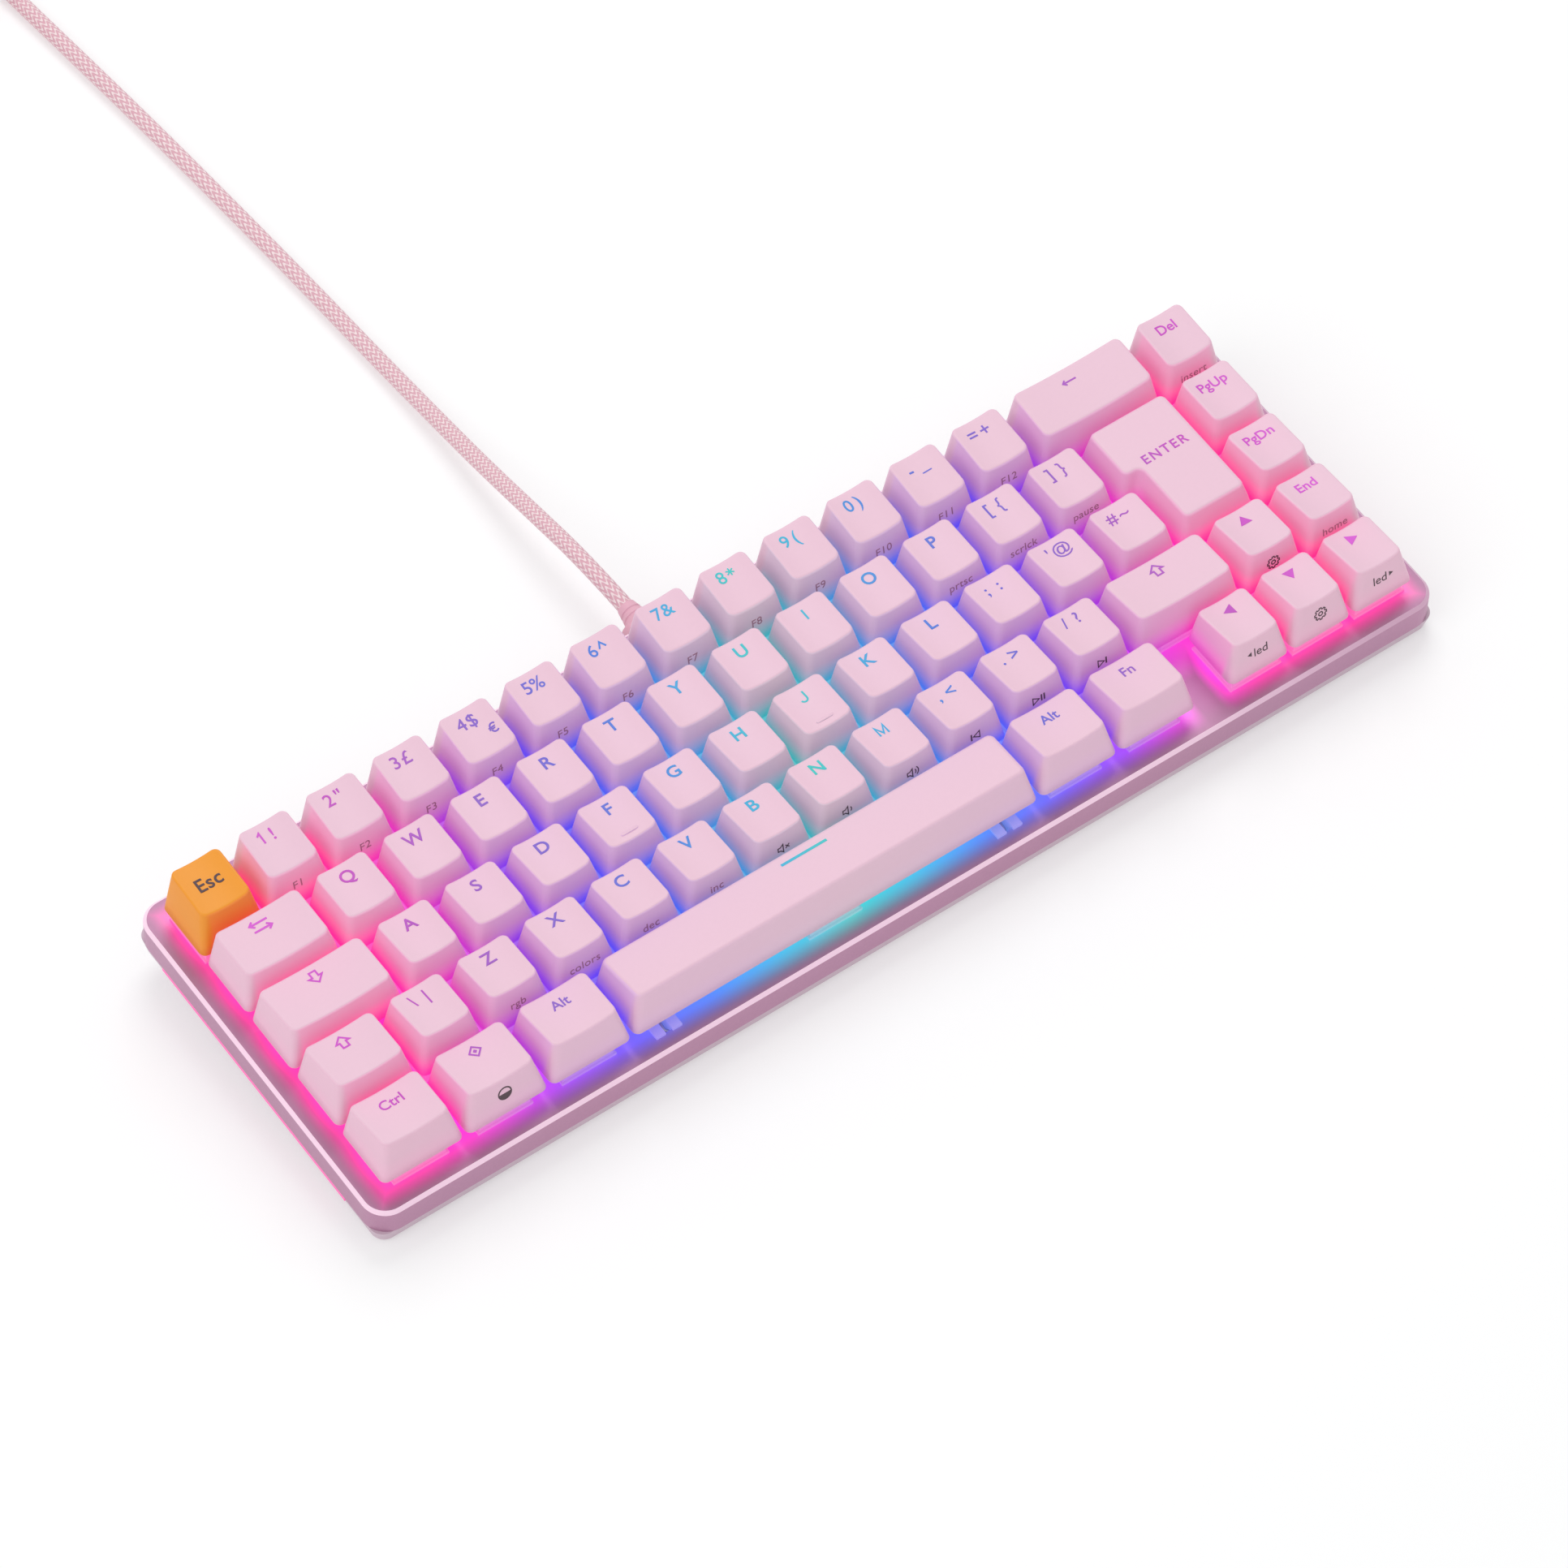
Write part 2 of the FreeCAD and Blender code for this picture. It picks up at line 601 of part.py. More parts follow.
def rubber_pads():
    pads = []
    for x, y in pad_places():
        solid = pad_box(x, y, 0.0)
        pads.append(solid.makeFillet(2.0, [e for e in solid.Edges if upright(e)]))
    return keep(feature_of("rubber_pads", Part.makeCompound(pads)))


# ---------------------------------------------------------------- light bars, board, electronics
BAR_Y = 1.2         # light bars' middle


def light_bar_box(side, grow):
    outer = dim("frame_width") / 2 - dim("bar_inset")
    inner = outer - dim("bar_thick") - grow
    half = dim("bar_length") / 2 + grow
    low = -dim("frame_skirt") - dim("bar_height") - grow
    x0, x1 = sorted((side * inner, side * (outer + 3 * grow)))
    return block(x0, x1, BAR_Y - half, BAR_Y + half, low, -dim("frame_skirt"))


def side_light_bars():
    """Two diffuser strips along the case's ends, under the frame's skirt."""
    return keep(copies("side_light_bars", Part.makeCompound([light_bar_box(s, 0) for s in (-1, 1)]), [V()]))


PIN_SPOTS = ((-3.81, 2.54), (2.54, 5.08))     # a switch's two solder pins, from its middle


def circuit_board():
    top, thick = -dim("board_drop"), dim("board_thick")
    board = new_body("board_blank")
    sketch = new_sketch(board, "BoardOutline", "-Dims.board_drop - Dims.board_thick")
    centred(sketch, "Dims.board_width", "Dims.board_depth")
    extrude(board, "Pad", sketch, "Dims.board_thick", True)
    tools = []
    for place in SWITCH_PLACES:
        low = place + V(0, 0, top - thick - 1)
        tools.append(Part.makeCylinder(dim("peg_width") / 2 + 0.1, thick + 2, low))
        tools += [block(x - 0.7, x + 0.7, y - 0.7, y + 0.7, top - thick - 1, top + 1).translated(place)
                  for x, y in PIN_SPOTS]
    tools += [Part.makeCylinder(dim("boss_width") / 2 + 0.4, thick + 2, V(x, y, top - thick - 1))
              for x, y in screw_places()]
    return keep(on_deck(cut("circuit_board", board, feature_of("board_cutters", Part.makeCompound(tools)))))


LED_SPOT = -5.1        # a key's light, in front of the switch's middle


def lights():
    """A light under every key, and four at each end of the board for the light bars."""
    top = -dim("board_drop")
    below = top - dim("board_thick")
    led = block(-1.7, 1.7, LED_SPOT - 1.3, LED_SPOT + 1.3, top, top + 1.1)
    side = block(-1.2, 1.2, -1.6, 1.6, below - 1.1, below)
    x, step = dim("board_width") / 2 - 2.5, dim("key_pitch") / 2
    spots = [V(s * x, n * step, 0) for s in (-1, 1) for n in (-3, -1, 1, 3)]
    solids = [led.translated(place) for place in SWITCH_PLACES] + [side.translated(spot) for spot in spots]
    return keep(copies("lights", Part.makeCompound(solids), [V()]))


def circuit_chips():
    """Controller, memory, regulator and crystal under the board."""
    below = -dim("board_drop") - dim("board_thick")
    sizes = ((-48.0, 10.6, 6.0, 6.0, 1.2), (-70.0, 10.6, 5.0, 4.0, 1.1), (24.0, 46.4, 3.0, 1.6, 1.1),
             (34.0, 46.4, 3.2, 1.5, 1.0))
    solids = [block(x - w / 2, x + w / 2, y - d / 2, y + d / 2, below - t, below)
              for x, y, w, d, t in sizes]
    return keep(copies("circuit_chips", Part.makeCompound(solids), [V()]))


# ---------------------------------------------------------------- switches
def switch_base():
    """Lower housing: square cup with a rim, a locating peg, a spring post and a light slot."""
    body = new_body("switch_base_one")
    cup = new_sketch(body, "BaseOutline", "-Dims.board_drop")
    centred(cup, "Dims.base_width", "Dims.base_width")
    extrude(body, "Pad", cup, "Dims.board_drop", True)
    rim = new_sketch(body, "BaseRim", "0")
    centred(rim, "Dims.flange_width", "Dims.flange_width")
    extrude(body, "Pad", rim, "Dims.flange_thick", True)
    room = new_sketch(body, "BaseRoom", "Dims.flange_thick")
    centred(room, "Dims.base_cavity", "Dims.base_cavity")
    extrude(body, "Pocket", room, "Dims.flange_thick + Dims.board_drop - 0.8", False)
    peg = new_sketch(body, "BasePeg", "-Dims.peg_end")
    circle(peg, "Dims.peg_width")
    extrude(body, "Pad", peg, "Dims.peg_end - Dims.board_drop + 0.4", True)
    post = new_sketch(body, "BasePost", "-Dims.board_drop + 0.4")
    circle(post, "Dims.spring_width - Dims.spring_wire - 0.5")
    extrude(body, "Pad", post, "2.8", True)
    slot = new_sketch(body, "BaseLightSlot", "-Dims.board_drop")
    rectangle(slot, "-2.2", "2.2", str(LED_SPOT - 1.5), str(LED_SPOT + 1.5))
    extrude(body, "Pocket", slot, "2.4", True)
    return body


def switch_lid():
    """Upper housing: tapered cover with a window for the slider."""
    body = new_body("switch_lid_one")
    foot, head = "Dims.lid_foot / 2", "Dims.lid_head / 2"
    wedge(body, "Additive", "LidCover", (f"-{foot}", foot, f"-{foot}", foot, "Dims.flange_thick"),
          (f"-{head}", head, f"-{head}", head, "Dims.lid_height"))
    room = new_sketch(body, "LidRoom", "Dims.flange_thick")
    centred(room, "9.4", "9.4")
    extrude(body, "Pocket", room, "Dims.lid_height - Dims.flange_thick - Dims.lid_wall", True)
    window = new_sketch(body, "LidWindow", "Dims.lid_height")
    centred(window, "Dims.stem_width + 2 * Dims.stem_window", "Dims.stem_depth + 2 * Dims.stem_window")
    extrude(body, "Pocket", window, "Dims.lid_wall + 1", False)
    return body


def switch_stem():
    """Slider: block with side rails, a spring bore and the cross that carries the cap."""
    body = new_body("switch_stem_one")
    slider = new_sketch(body, "StemSlider", "0")
    centred(slider, "Dims.stem_width", "Dims.stem_depth")
    extrude(body, "Pad", slider, "Dims.stem_top", True)
    rails = new_sketch(body, "StemRails", "0")
    centred(rails, "8.8", "Dims.stem_depth - 1.2")
    extrude(body, "Pad", rails, "5.4", True)
    for name, width, depth in (("StemCross", "Dims.cross_span", "Dims.cross_thick"),
                               ("StemCrossTurned", "Dims.cross_thick", "Dims.cross_span")):
        arm = new_sketch(body, name, "Dims.stem_top - 0.5")
        centred(arm, width, depth)
        extrude(body, "Pad", arm, "Dims.cross_top - Dims.stem_top + 0.5", True)
    bore = new_sketch(body, "StemBore", "0")
    bore_width = "Dims.spring_width + Dims.spring_wire + 0.4"
    centred(bore, bore_width, bore_width)
    extrude(body, "Pocket", bore, "4.4", True)
    return body


def spring_shape():
    """A square-wire coil of straight facets, from the housing's floor to the slider's bore."""
    low, high = -dim("board_drop") + 0.85, 4.35
    radius, wire = dim("spring_width") / 2, dim("spring_wire") / 2
    steps = int(dim("spring_turns")) * 6
    rise = (high - low - 2 * wire) / steps
    rings = []
    for n in range(steps + 1):
        angle, mid = n * math.pi / 3, low + wire + n * rise
        out = V(math.cos(angle), math.sin(angle), 0)
        rings.append([out * (radius + a) + V(0, 0, mid + b)
                      for a, b in ((-wire, -wire), (wire, -wire), (wire, wire), (-wire, wire))])
    faces = [Part.Face(Part.makePolygon(rings[0][::-1] + [rings[0][3]])),
             Part.Face(Part.makePolygon(rings[-1] + [rings[-1][0]]))]
    for here, there in zip(rings, rings[1:]):
        for n in range(4):
            m = (n + 1) % 4
            faces.append(Part.Face(Part.makePolygon([here[n], here[m], there[m], here[n]])))
            faces.append(Part.Face(Part.makePolygon([here[n], there[m], there[n], here[n]])))
    shell = Part.makeShell(faces)
    shell.sewShape()
    return Part.makeSolid(shell)


def contact_shapes():
    """The two sprung contact leaves, each with its solder pin through the board."""
    floor, thick = -dim("board_drop") + 0.85, 0.25
    leaves = []
    for x, y in PIN_SPOTS:
        pin = block(x - 0.35, x + 0.35, y - 0.3, y + 0.3, -8.0, floor + 0.6)
        leaf = block(x - 1.35, x + 0.35, y - thick, y, floor, 0.4)
        leaves.append(pin.fuse(leaf).removeSplitter())
    return leaves


def switches():
    base, lid = switch_base(), switch_lid()
    slots = [block(x - 0.5, x + 0.5, y - 0.4, y + 0.4, -6, -3) for x, y in PIN_SPOTS]
    keep(copies("switch_bases", base.Shape.cut(slots), SWITCH_PLACES))
    keep(copies("switch_lids", lid.Shape, SWITCH_PLACES))
    keep(copies("switch_springs", spring_shape(), SWITCH_PLACES))
    keep(copies("switch_contacts", Part.makeCompound(contact_shapes()), SWITCH_PLACES))


# ---------------------------------------------------------------- stabilisers
def stab_housing():
    """Clip-in guide for a stabiliser's slider, slotted for the wire's arm and bored for its bar."""
    half, high, low = dim("stab_width") / 2, dim("stab_height"), -dim("stab_depth")
    pieces = [block(-half, half, -9.2, 6.2, low, 0), block(-half - 0.45, half + 0.45, -10.0, 7.0, 0, 0.8),
              block(-half, half, -4.2, 4.2, 0, high)]
    shape = pieces[0].fuse(pieces[1:])
    shape = shape.cut(block(-2.15, 2.15, -3.1, 3.1, low - 1, high + 1))
    shape = shape.cut(block(-1.0, 1.0, -11, -3.0, low - 1, 1.4))
    post_room = Part.makeCylinder(dim("cap_post") / 2 + 0.25, high, V(0, 0, dim("stab_mouth")))
    bar_start = V(-10, -dim("wire_reach"), -dim("wire_drop"))
    bar = Part.makeCylinder(dim("wire_width") / 2 + 0.15, 20, bar_start, X_AXIS)
    return shape.cut([post_room, bar]).removeSplitter()


def stab_slider():
    """The stabiliser's own slider: the cross for the cap, and a slot for the wire's tip."""
    top = dim("stem_top")
    shape = block(-1.9, 1.9, -2.8, 2.8, -0.75, top)
    shape = shape.cut([block(-3, 3, -4, 2.0, -0.35, 1.7), block(-3, 3, -4, -0.5, -1, 0)])
    span, thick = dim("cross_span") / 2, dim("cross_thick") / 2
    arms = [block(-a, a, -b, b, top - 0.5, dim("cross_top")) for a, b in ((span, thick), (thick, span))]
    return shape.fuse(arms).removeSplitter()


def stab_wire(name):
    """A bar between the pair of housings, with an arm at each end that reaches into the slider."""
    places = STABS[name]
    half = (places[1] - places[0]).Length / 2
    reach, drop, lift = dim("wire_reach"), dim("wire_drop"), dim("wire_lift")
    corners = [V(-half, 0, lift), V(-half, -reach, -drop), V(half, -reach, -drop), V(half, 0, lift)]
    wire, _ = rounded_route(corners, lambda first, second, turn: dim("wire_bend"))
    tube = sweep(wire, dim("wire_width") / 2)
    return turned(tube, STAB_TURN[name], (places[0] + places[1]) / 2)


def rounded_route(points, radius_at):
    """Straight runs joined by tangent arcs; radius_at(run, next run, turn) gives each arc's radius."""
    edges, radii, start = [], [], points[0]
    for before, corner, after in zip(points, points[1:], points[2:]):
        back, on = (before - corner), (after - corner)
        first, second = back.Length, on.Length
        back.normalize()
        on.normalize()
        turn = math.pi - back.getAngle(on)
        radius = radius_at(first, second, turn)
        tangent = radius * math.tan(turn / 2)
        inward = back + on
        inward.normalize()
        middle = corner + inward * (radius / math.cos(turn / 2) - radius)
        entry, leave = corner + back * tangent, corner + on * tangent
        edges += [Part.LineSegment(start, entry).toShape(), Part.Arc(entry, middle, leave).toShape()]
        radii.append(radius)
        start = leave
    edges.append(Part.LineSegment(start, points[-1]).toShape())
    return Part.Wire(edges), radii


def sweep(wire, radius):
    """A round bar along the wire."""
    first = wire.Edges[0]
    ring = Part.Wire(Part.Circle(first.valueAt(first.FirstParameter), first.tangentAt(first.FirstParameter),
                                 radius).toShape())
    tube = wire.makePipeShell([ring], True, True)
    return tube if tube.Volume > 0 else tube.reversed()


def stabilisers():
    housings = [turned(stab_housing(), STAB_TURN[name], place) for name in STABS for place in STABS[name]]
    keep(copies("stabiliser_housings", Part.makeCompound(housings), [V()]))
    for name in STABS:
        keep(copies(f"stabiliser_wire_{name}", stab_wire(name), [V()]))


# ---------------------------------------------------------------- keycaps
def cap_sizes(row):
    """The cap's top face: front and back edges, their heights, and the middle height."""
    return {part: f"Dims.{row}_{part}" for part in ("front_y", "front_z", "back_y", "back_z")}


def cap_section(row, units, inset, height):
    """A level section through a cap of a row, inset from its outer faces."""
    top = cap_sizes(row)
    rise = f"(({height}) - Dims.cap_skirt)"
    middle_rise = f"(({top['front_z']} + {top['back_z']}) / 2 - Dims.cap_skirt)"
    lean = f"Dims.cap_lean * {rise} / {middle_rise}"
    side = f"((Dims.key_pitch * {units} - Dims.cap_gap) / 2 - {lean} - {inset})"
    edge = "(Dims.key_pitch - Dims.cap_gap) / 2"
    front_share = f"{rise} / ({top['front_z']} - Dims.cap_skirt)"
    back_share = f"{rise} / ({top['back_z']} - Dims.cap_skirt)"
    front = f"-{edge} + ({top['front_y']} + {edge}) * {front_share} + {inset}"
    back = f"{edge} + ({top['back_y']} - {edge}) * {back_share} - {inset}"
    return f"-{side}", side, front, back, height


def cap_ceiling(row):
    top = cap_sizes(row)
    return f"(min({top['front_z']}; {top['back_z']}) - Dims.cap_dish - Dims.cap_roof)"


def cap_blank(body, row, units):
    """The cap's outer block with rounded corners and a hollow, up to the uncut block's height."""
    blank = wedge(body, "Additive", "Blank", cap_section(row, units, "0", "Dims.cap_skirt"),
                  cap_section(row, units, "0", "Dims.cap_block"))
    dress(body, "Fillet", blank, upright, "Dims.cap_corner")
    wedge(body, "Subtractive", "Hollow", cap_section(row, units, "Dims.cap_wall", "Dims.cap_skirt"),
          cap_section(row, units, "Dims.cap_wall", cap_ceiling(row)))
    return body


def cap_posts(body, ceiling, shifts):
    """Posts with a cross-shaped socket, down to just above the slider's shoulder."""
    play = "2 * Dims.cross_play"
    bottom = "(Dims.stem_top + 0.1)"
    for n, (x, y) in enumerate(shifts):
        post = new_sketch(body, f"Post{n}", bottom)
        circle(post, "Dims.cap_post")
        move_sketch(post, x, y)
        extrude(body, "Pad", post, f"{ceiling} - {bottom} + 0.2", True)
    for n, (x, y) in enumerate(shifts):
        for name, width, depth in ((f"SocketWide{n}", "Dims.cross_span", "Dims.cross_thick"),
                                   (f"SocketDeep{n}", "Dims.cross_thick", "Dims.cross_span")):
            arm = new_sketch(body, name, bottom)
            centred(arm, f"{width} + {play}", f"{depth} + {play}")
            move_sketch(arm, x, y)
            extrude(body, "Pocket", arm, f"Dims.cross_top + 0.3 - {bottom}", True)


def move_sketch(sketch, x, y):
    sketch.setExpression("AttachmentOffset.Base.x", x)
    sketch.setExpression("AttachmentOffset.Base.y", y)
    doc.recompute()


def top_cutter(label, row, units, dished):
    """What the blank loses above: a long cylinder for a dished top, a slab for a flat one."""
    front = V(0, dim(f"{row}_front_y"), dim(f"{row}_front_z"))
    back = V(0, dim(f"{row}_back_y"), dim(f"{row}_back_z"))
    along = (back - front).normalize()
    up = V(0, -along.z, along.y)
    start = front - along * 20
    if dished:
        width, sag = units * dim("key_pitch") - dim("cap_gap") - 2 * dim("cap_lean"), dim("cap_dish")
        radius = (width ** 2 / 4 + sag ** 2) / (2 * sag)
        return feature_of(label, Part.makeCylinder(radius, 60, start + up * (radius - sag), along))
    slab = block(-80, 80, 0, 60, 0, 30)
    tilt = FreeCAD.Rotation(V(0, 1, 0), along)
    slab.Placement = FreeCAD.Placement(start, tilt)
    return feature_of(label, slab)


def keycap(name, row, units, shifts=(("0", "0"),), dished=True):
    body = cap_blank(new_body(f"{name}_blank"), row, units)
    cap_posts(body, cap_ceiling(row), shifts)
    return cut(name, body, top_cutter(f"{name}_cutter", row, units, dished))


def enter_sections(inset, rise, height):
    """Level sections of the two-row key's long and short parts; rise is 0 at the skirt, 1 at the top."""
    gap, lean = "Dims.cap_gap / 2", f"Dims.cap_lean * {rise}"
    right = f"(Dims.key_pitch * 0.625 - {gap} - {lean} - {inset})"
    upper_left = f"-Dims.key_pitch * 0.875 + {gap} + {lean} + {inset}"
    edge = f"(Dims.key_pitch - {gap})"
    front = f"-{edge} + (Dims.enter_front_y + {edge}) * {rise} + {inset}"
    back = f"{edge} + (Dims.enter_back_y - {edge}) * {rise} - {inset}"
    step = f"{gap} + Dims.cap_lean * {rise} + {inset}"
    return (f"-{right}", right, front, back, height), (upper_left, right, step, back, height)


def enter_cap():
    body = new_body("cap_enter")
    low = enter_sections("0", "0", "Dims.cap_skirt")
    high = enter_sections("0", "1", "Dims.enter_top_z")
    wedge(body, "Additive", "EnterLong", low[0], high[0])
    blank = wedge(body, "Additive", "EnterShort", low[1], high[1])
    dress(body, "Fillet", blank, upright, "Dims.cap_corner")
    ceiling = "(Dims.enter_top_z - Dims.cap_roof - 0.5)"
    share = f"(({ceiling} - Dims.cap_skirt) / (Dims.enter_top_z - Dims.cap_skirt))"
    low = enter_sections("Dims.cap_wall", "0", "Dims.cap_skirt")
    high = enter_sections("Dims.cap_wall", share, ceiling)
    wedge(body, "Subtractive", "EnterLongHollow", low[0], high[0])
    wedge(body, "Subtractive", "EnterShortHollow", low[1], high[1])
    cap_posts(body, ceiling, [("0", "0"), ("0", "-Dims.stab_reach"), ("0", "Dims.stab_reach")])
    return body


NEAR_POSTS = (("0", "0"), ("-Dims.stab_reach", "0"), ("Dims.stab_reach", "0"))
FAR_POSTS = (("0", "0"), ("-Dims.space_stab_reach", "0"), ("Dims.space_stab_reach", "0"))


def keys():
    """Every cap on its slider, a compound placed on the deck; then the caps that travel as blocks."""
    caps = {}
    stem = switch_stem()
    sliders = {name: feature_of(f"sliders_{name}", Part.makeCompound(
        [turned(stab_slider(), STAB_TURN[name], place - BY_NAME[name].place) for place in STABS[name]]))
        for name in STABS}
    for key in KEYS:
        kind = (key.row, key.units)
        if kind in caps:
            continue
        if key.name == "enter":
            caps[kind] = enter_cap()
        elif key.name == "space":
            caps[kind] = keycap("cap_space_bar", key.row, key.units, FAR_POSTS, dished=False)
        else:
            posts = NEAR_POSTS if key.name == "backspace" else (("0", "0"),)
            caps[kind] = keycap(f"cap_{key.row}_{int(key.units * 100)}", key.row, key.units, posts)
    blocks = {name: block_name for block_name, names in BLOCKS.items() for name in names}
    gathered = {block_name: [] for block_name in BLOCKS}
    for key in KEYS:
        pieces = [caps[(key.row, key.units)], stem]
        if key.name in sliders:
            pieces.append(sliders[key.name])
        label = f"key_{key.name}"
        one = on_deck(compound(label, pieces), ux=key.ux, uy=key.uy)
        if key.name in blocks:
            gathered[blocks[key.name]].append(one)
        else:
            keep(one)
    for label, members in gathered.items():
        keep(compound(label, members))


# ---------------------------------------------------------------- fasteners, port and cable
def case_screws():
    head, neck = dim("screw_head_thick"), dim("boss_end") + 1.2
    screw = Part.makeCylinder(dim("screw_head") / 2, head, V(0, 0, -neck - head))
    screw = screw.fuse(Part.makeCylinder(dim("screw_core") / 2 - 0.05, neck - 3.0, V(0, 0, -neck)))
    slot = block(-1.3, 1.3, -0.3, 0.3, -neck - head - 1, -neck - head + 0.6)
    cross = slot.fuse(block(-0.3, 0.3, -1.3, 1.3, -neck - head - 1, -neck - head + 0.6))
    return keep(copies("case_screws", screw.cut(cross), [V(x, y, 0) for x, y in screw_places()]))


def pill(width, height, length, y):
    """A stadium-section bar along Y, its middle on the port's axis."""
    x, z = dim("port_x"), -dim("port_drop")
    bar = block(x - width / 2, x + width / 2, y, y + length, z - height / 2, z + height / 2)
    long_edges = [e for e in bar.Edges if abs(e.BoundBox.YLength - length) < 1e-6]
    return bar.makeFillet(height / 2 - 0.01, long_edges)


def usb_socket():
    """Drawn metal shell with a tongue on a back wall."""
    mouth, long = dim("port_mouth"), dim("port_length")
    width, tall, wall = dim("port_width"), dim("port_height"), dim("port_wall")
    shell = pill(width, tall, long, mouth - long).cut(
        pill(width - 2 * wall, tall - 2 * wall, long, mouth - long + 0.8))
    x, z = dim("port_x"), -dim("port_drop")
    tongue = block(x - 3.3, x + 3.3, mouth - long + 0.5, mouth - 1.2, z - 0.35, z + 0.35)
    return keep(copies("usb_socket", shell.fuse(tongue).removeSplitter(), [V()]))


def plug_start():
    return dim("frame_depth") / 2 + dim("plug_gap")


def usb_c_plug():
    """Hollow metal tip in the socket, on a moulding outside the case."""
    start, tip = plug_start(), 6.4
    shell = pill(8.0, 2.3, tip, start - tip).cut(pill(7.2, 1.6, 5.8, start - tip - 1))
    moulding = pill(dim("boot_width"), dim("boot_height"), dim("boot_length"), start)
    return keep(copies("usb_c_plug", shell.fuse(moulding).removeSplitter(), [V()]))


def relief_start():
    return V(dim("port_x"), plug_start() + dim("boot_length"), -dim("port_drop"))


def cable_strain_relief():
    """Tapered collar round the cable, ribbed by two grooves."""
    wide, narrow = dim("relief_width") / 2, dim("cable_width") / 2 + 0.3
    collar = Part.makeCone(wide, narrow, dim("relief_length"), relief_start(), V(0, 1, 0))
    for share in (0.3, 0.6):
        middle = relief_start() + V(0, share * dim("relief_length"), 0)
        groove = wide + (narrow - wide) * share + 0.25
        collar = collar.cut(Part.makeTorus(groove, 0.5, middle, V(0, 1, 0)))
    return keep(copies("cable_strain_relief", collar, [V()]))


def cable_exit():
    return deck_placement().multVec(relief_start() + V(0, dim("relief_length"), 0))


# the cable's way over the desk, from the strain relief into the stored coil
CABLE_ROUTE = [(-6.1, 82, 13.1), (-6.6, 105, 10.6), (-6.5, 127, 7.1), (-6.1, 150, 4.1), (-6.3, 176, 2.4),
               (-7.0, 206, 2.23), (-8.3, 240, 2.26), (-9.9, 276, 2.23), (-12.0, 310, 2.27),
               (-13.8, 338, 2.23), (-14.7, 358, 2.27)]
# and out of the coil to its far plug
TAIL_ROUTE = [(-44, 391.0, 10.2), (-56, 391.3, 7.2), (-68, 391.2, 5.0), (-80, 391.0, 4.4)]


def cable_run(points):
    radius_at = lambda first, second, turn: 0.45 * min(first, second) / math.tan(turn / 2)
    wire, radii = rounded_route(points, radius_at)
    tube = sweep(wire, dim("cable_width") / 2)
    section = math.pi * dim("cable_width") ** 2 / 4
    print("cable run, mm:", round(wire.Length, 1), "bend radii:", [round(r) for r in radii],
          "volume / (section x length):", round(tube.Volume / (section * wire.Length), 4))
    return tube


def usb_cable():
    main = cable_run([cable_exit()] + [V(*point) for point in CABLE_ROUTE])
    tail = cable_run([V(*point) for point in TAIL_ROUTE])
    return keep(feature_of("usb_cable", Part.makeCompound([main, tail])))


def coil_ring(radius, start=0, span=360):
    """A stretch of the bundle's outer shape, round the coil's middle."""
    centre = V(dim("coil_x"), dim("coil_y"), dim("coil_height"))
    section = Part.Face(Part.Wire(Part.Circle(V(dim("coil_radius"), 0, 0), V(0, 1, 0), radius).toShape()))
    ring = section.revolve(V(), V(0, 0, 1), span)
    ring.rotate(V(), V(0, 0, 1), start)
    return ring.translated(centre)


def cable_coil():
    return keep(feature_of("cable_coil", coil_ring(dim("coil_thick") / 2)))


def coil_tie():
    half = math.degrees(dim("tie_width") / dim("coil_radius")) / 2
    outer = coil_ring(dim("coil_thick") / 2 + dim("tie_thick"), 180 - half, 2 * half)
    return keep(feature_of("coil_tie", outer.cut(coil_ring(dim("coil_thick") / 2))))


def usb_a_plug():
    """Moulding with a hollow metal tongue, lying on the desk beside the coil."""
    x, y, z = TAIL_ROUTE[-1]
    face = x + 1.0
    root = face - 26
    moulding = block(root, face, y - 8, y + 8, 0, 2 * z)
    moulding = moulding.makeFillet(1.5, [e for e in moulding.Edges if abs(e.BoundBox.XLength - 26) < 1e-6])
    cable_hole = Part.makeCylinder(dim("cable_width") / 2 + 0.25, 3, V(x - 0.4, y, z), X_AXIS)
    shell = block(root - 12.5, root, y - 6, y + 6, z - 2.25, z + 2.25)
    shell = shell.cut(block(root - 13, root - 1, y - 5.7, y + 5.7, z - 1.95, z + 0.1))
    return keep(feature_of("usb_a_plug", moulding.fuse(shell).cut(cable_hole).removeSplitter()))


# ---------------------------------------------------------------- build and write
top_frame()
bottom_case()
side_light_bars()
circuit_board()
lights()
circuit_chips()
switches()
stabilisers()
case_screws()
rubber_pads()
fold_foot(-1, "fold_foot_left")
fold_foot(1, "fold_foot_right")
usb_socket()
usb_c_plug()
cable_strain_relief()
usb_cable()
cable_coil()
coil_tie()
usb_a_plug()
keys()
doc.recompute()

faulty = [thing.Label for thing in doc.Objects if {"Invalid", "Error"} & set(thing.State)]
if faulty:
    raise RuntimeError(f"objects in error: {faulty}")
os.makedirs("parts", exist_ok=True)
whole = FreeCAD.BoundBox()
for part in PARTS:
    if part.Shape.isNull() or not part.Shape.isValid():
        raise RuntimeError(f"bad shape: {part.Label}")
    part.Shape.exportStep(f"parts/{part.Label}.step")
    box = part.Shape.BoundBox
    whole.add(box)
    print(f"{part.Label}: {len(part.Shape.Solids)} solids, x {box.XMin:.2f}..{box.XMax:.2f}, "
          f"y {box.YMin:.2f}..{box.YMax:.2f}, z {box.ZMin:.2f}..{box.ZMax:.2f}")
print(len(PARTS), "sub-parts, whole:", whole)
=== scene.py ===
import bpy
import math
from mathutils import Matrix, Vector


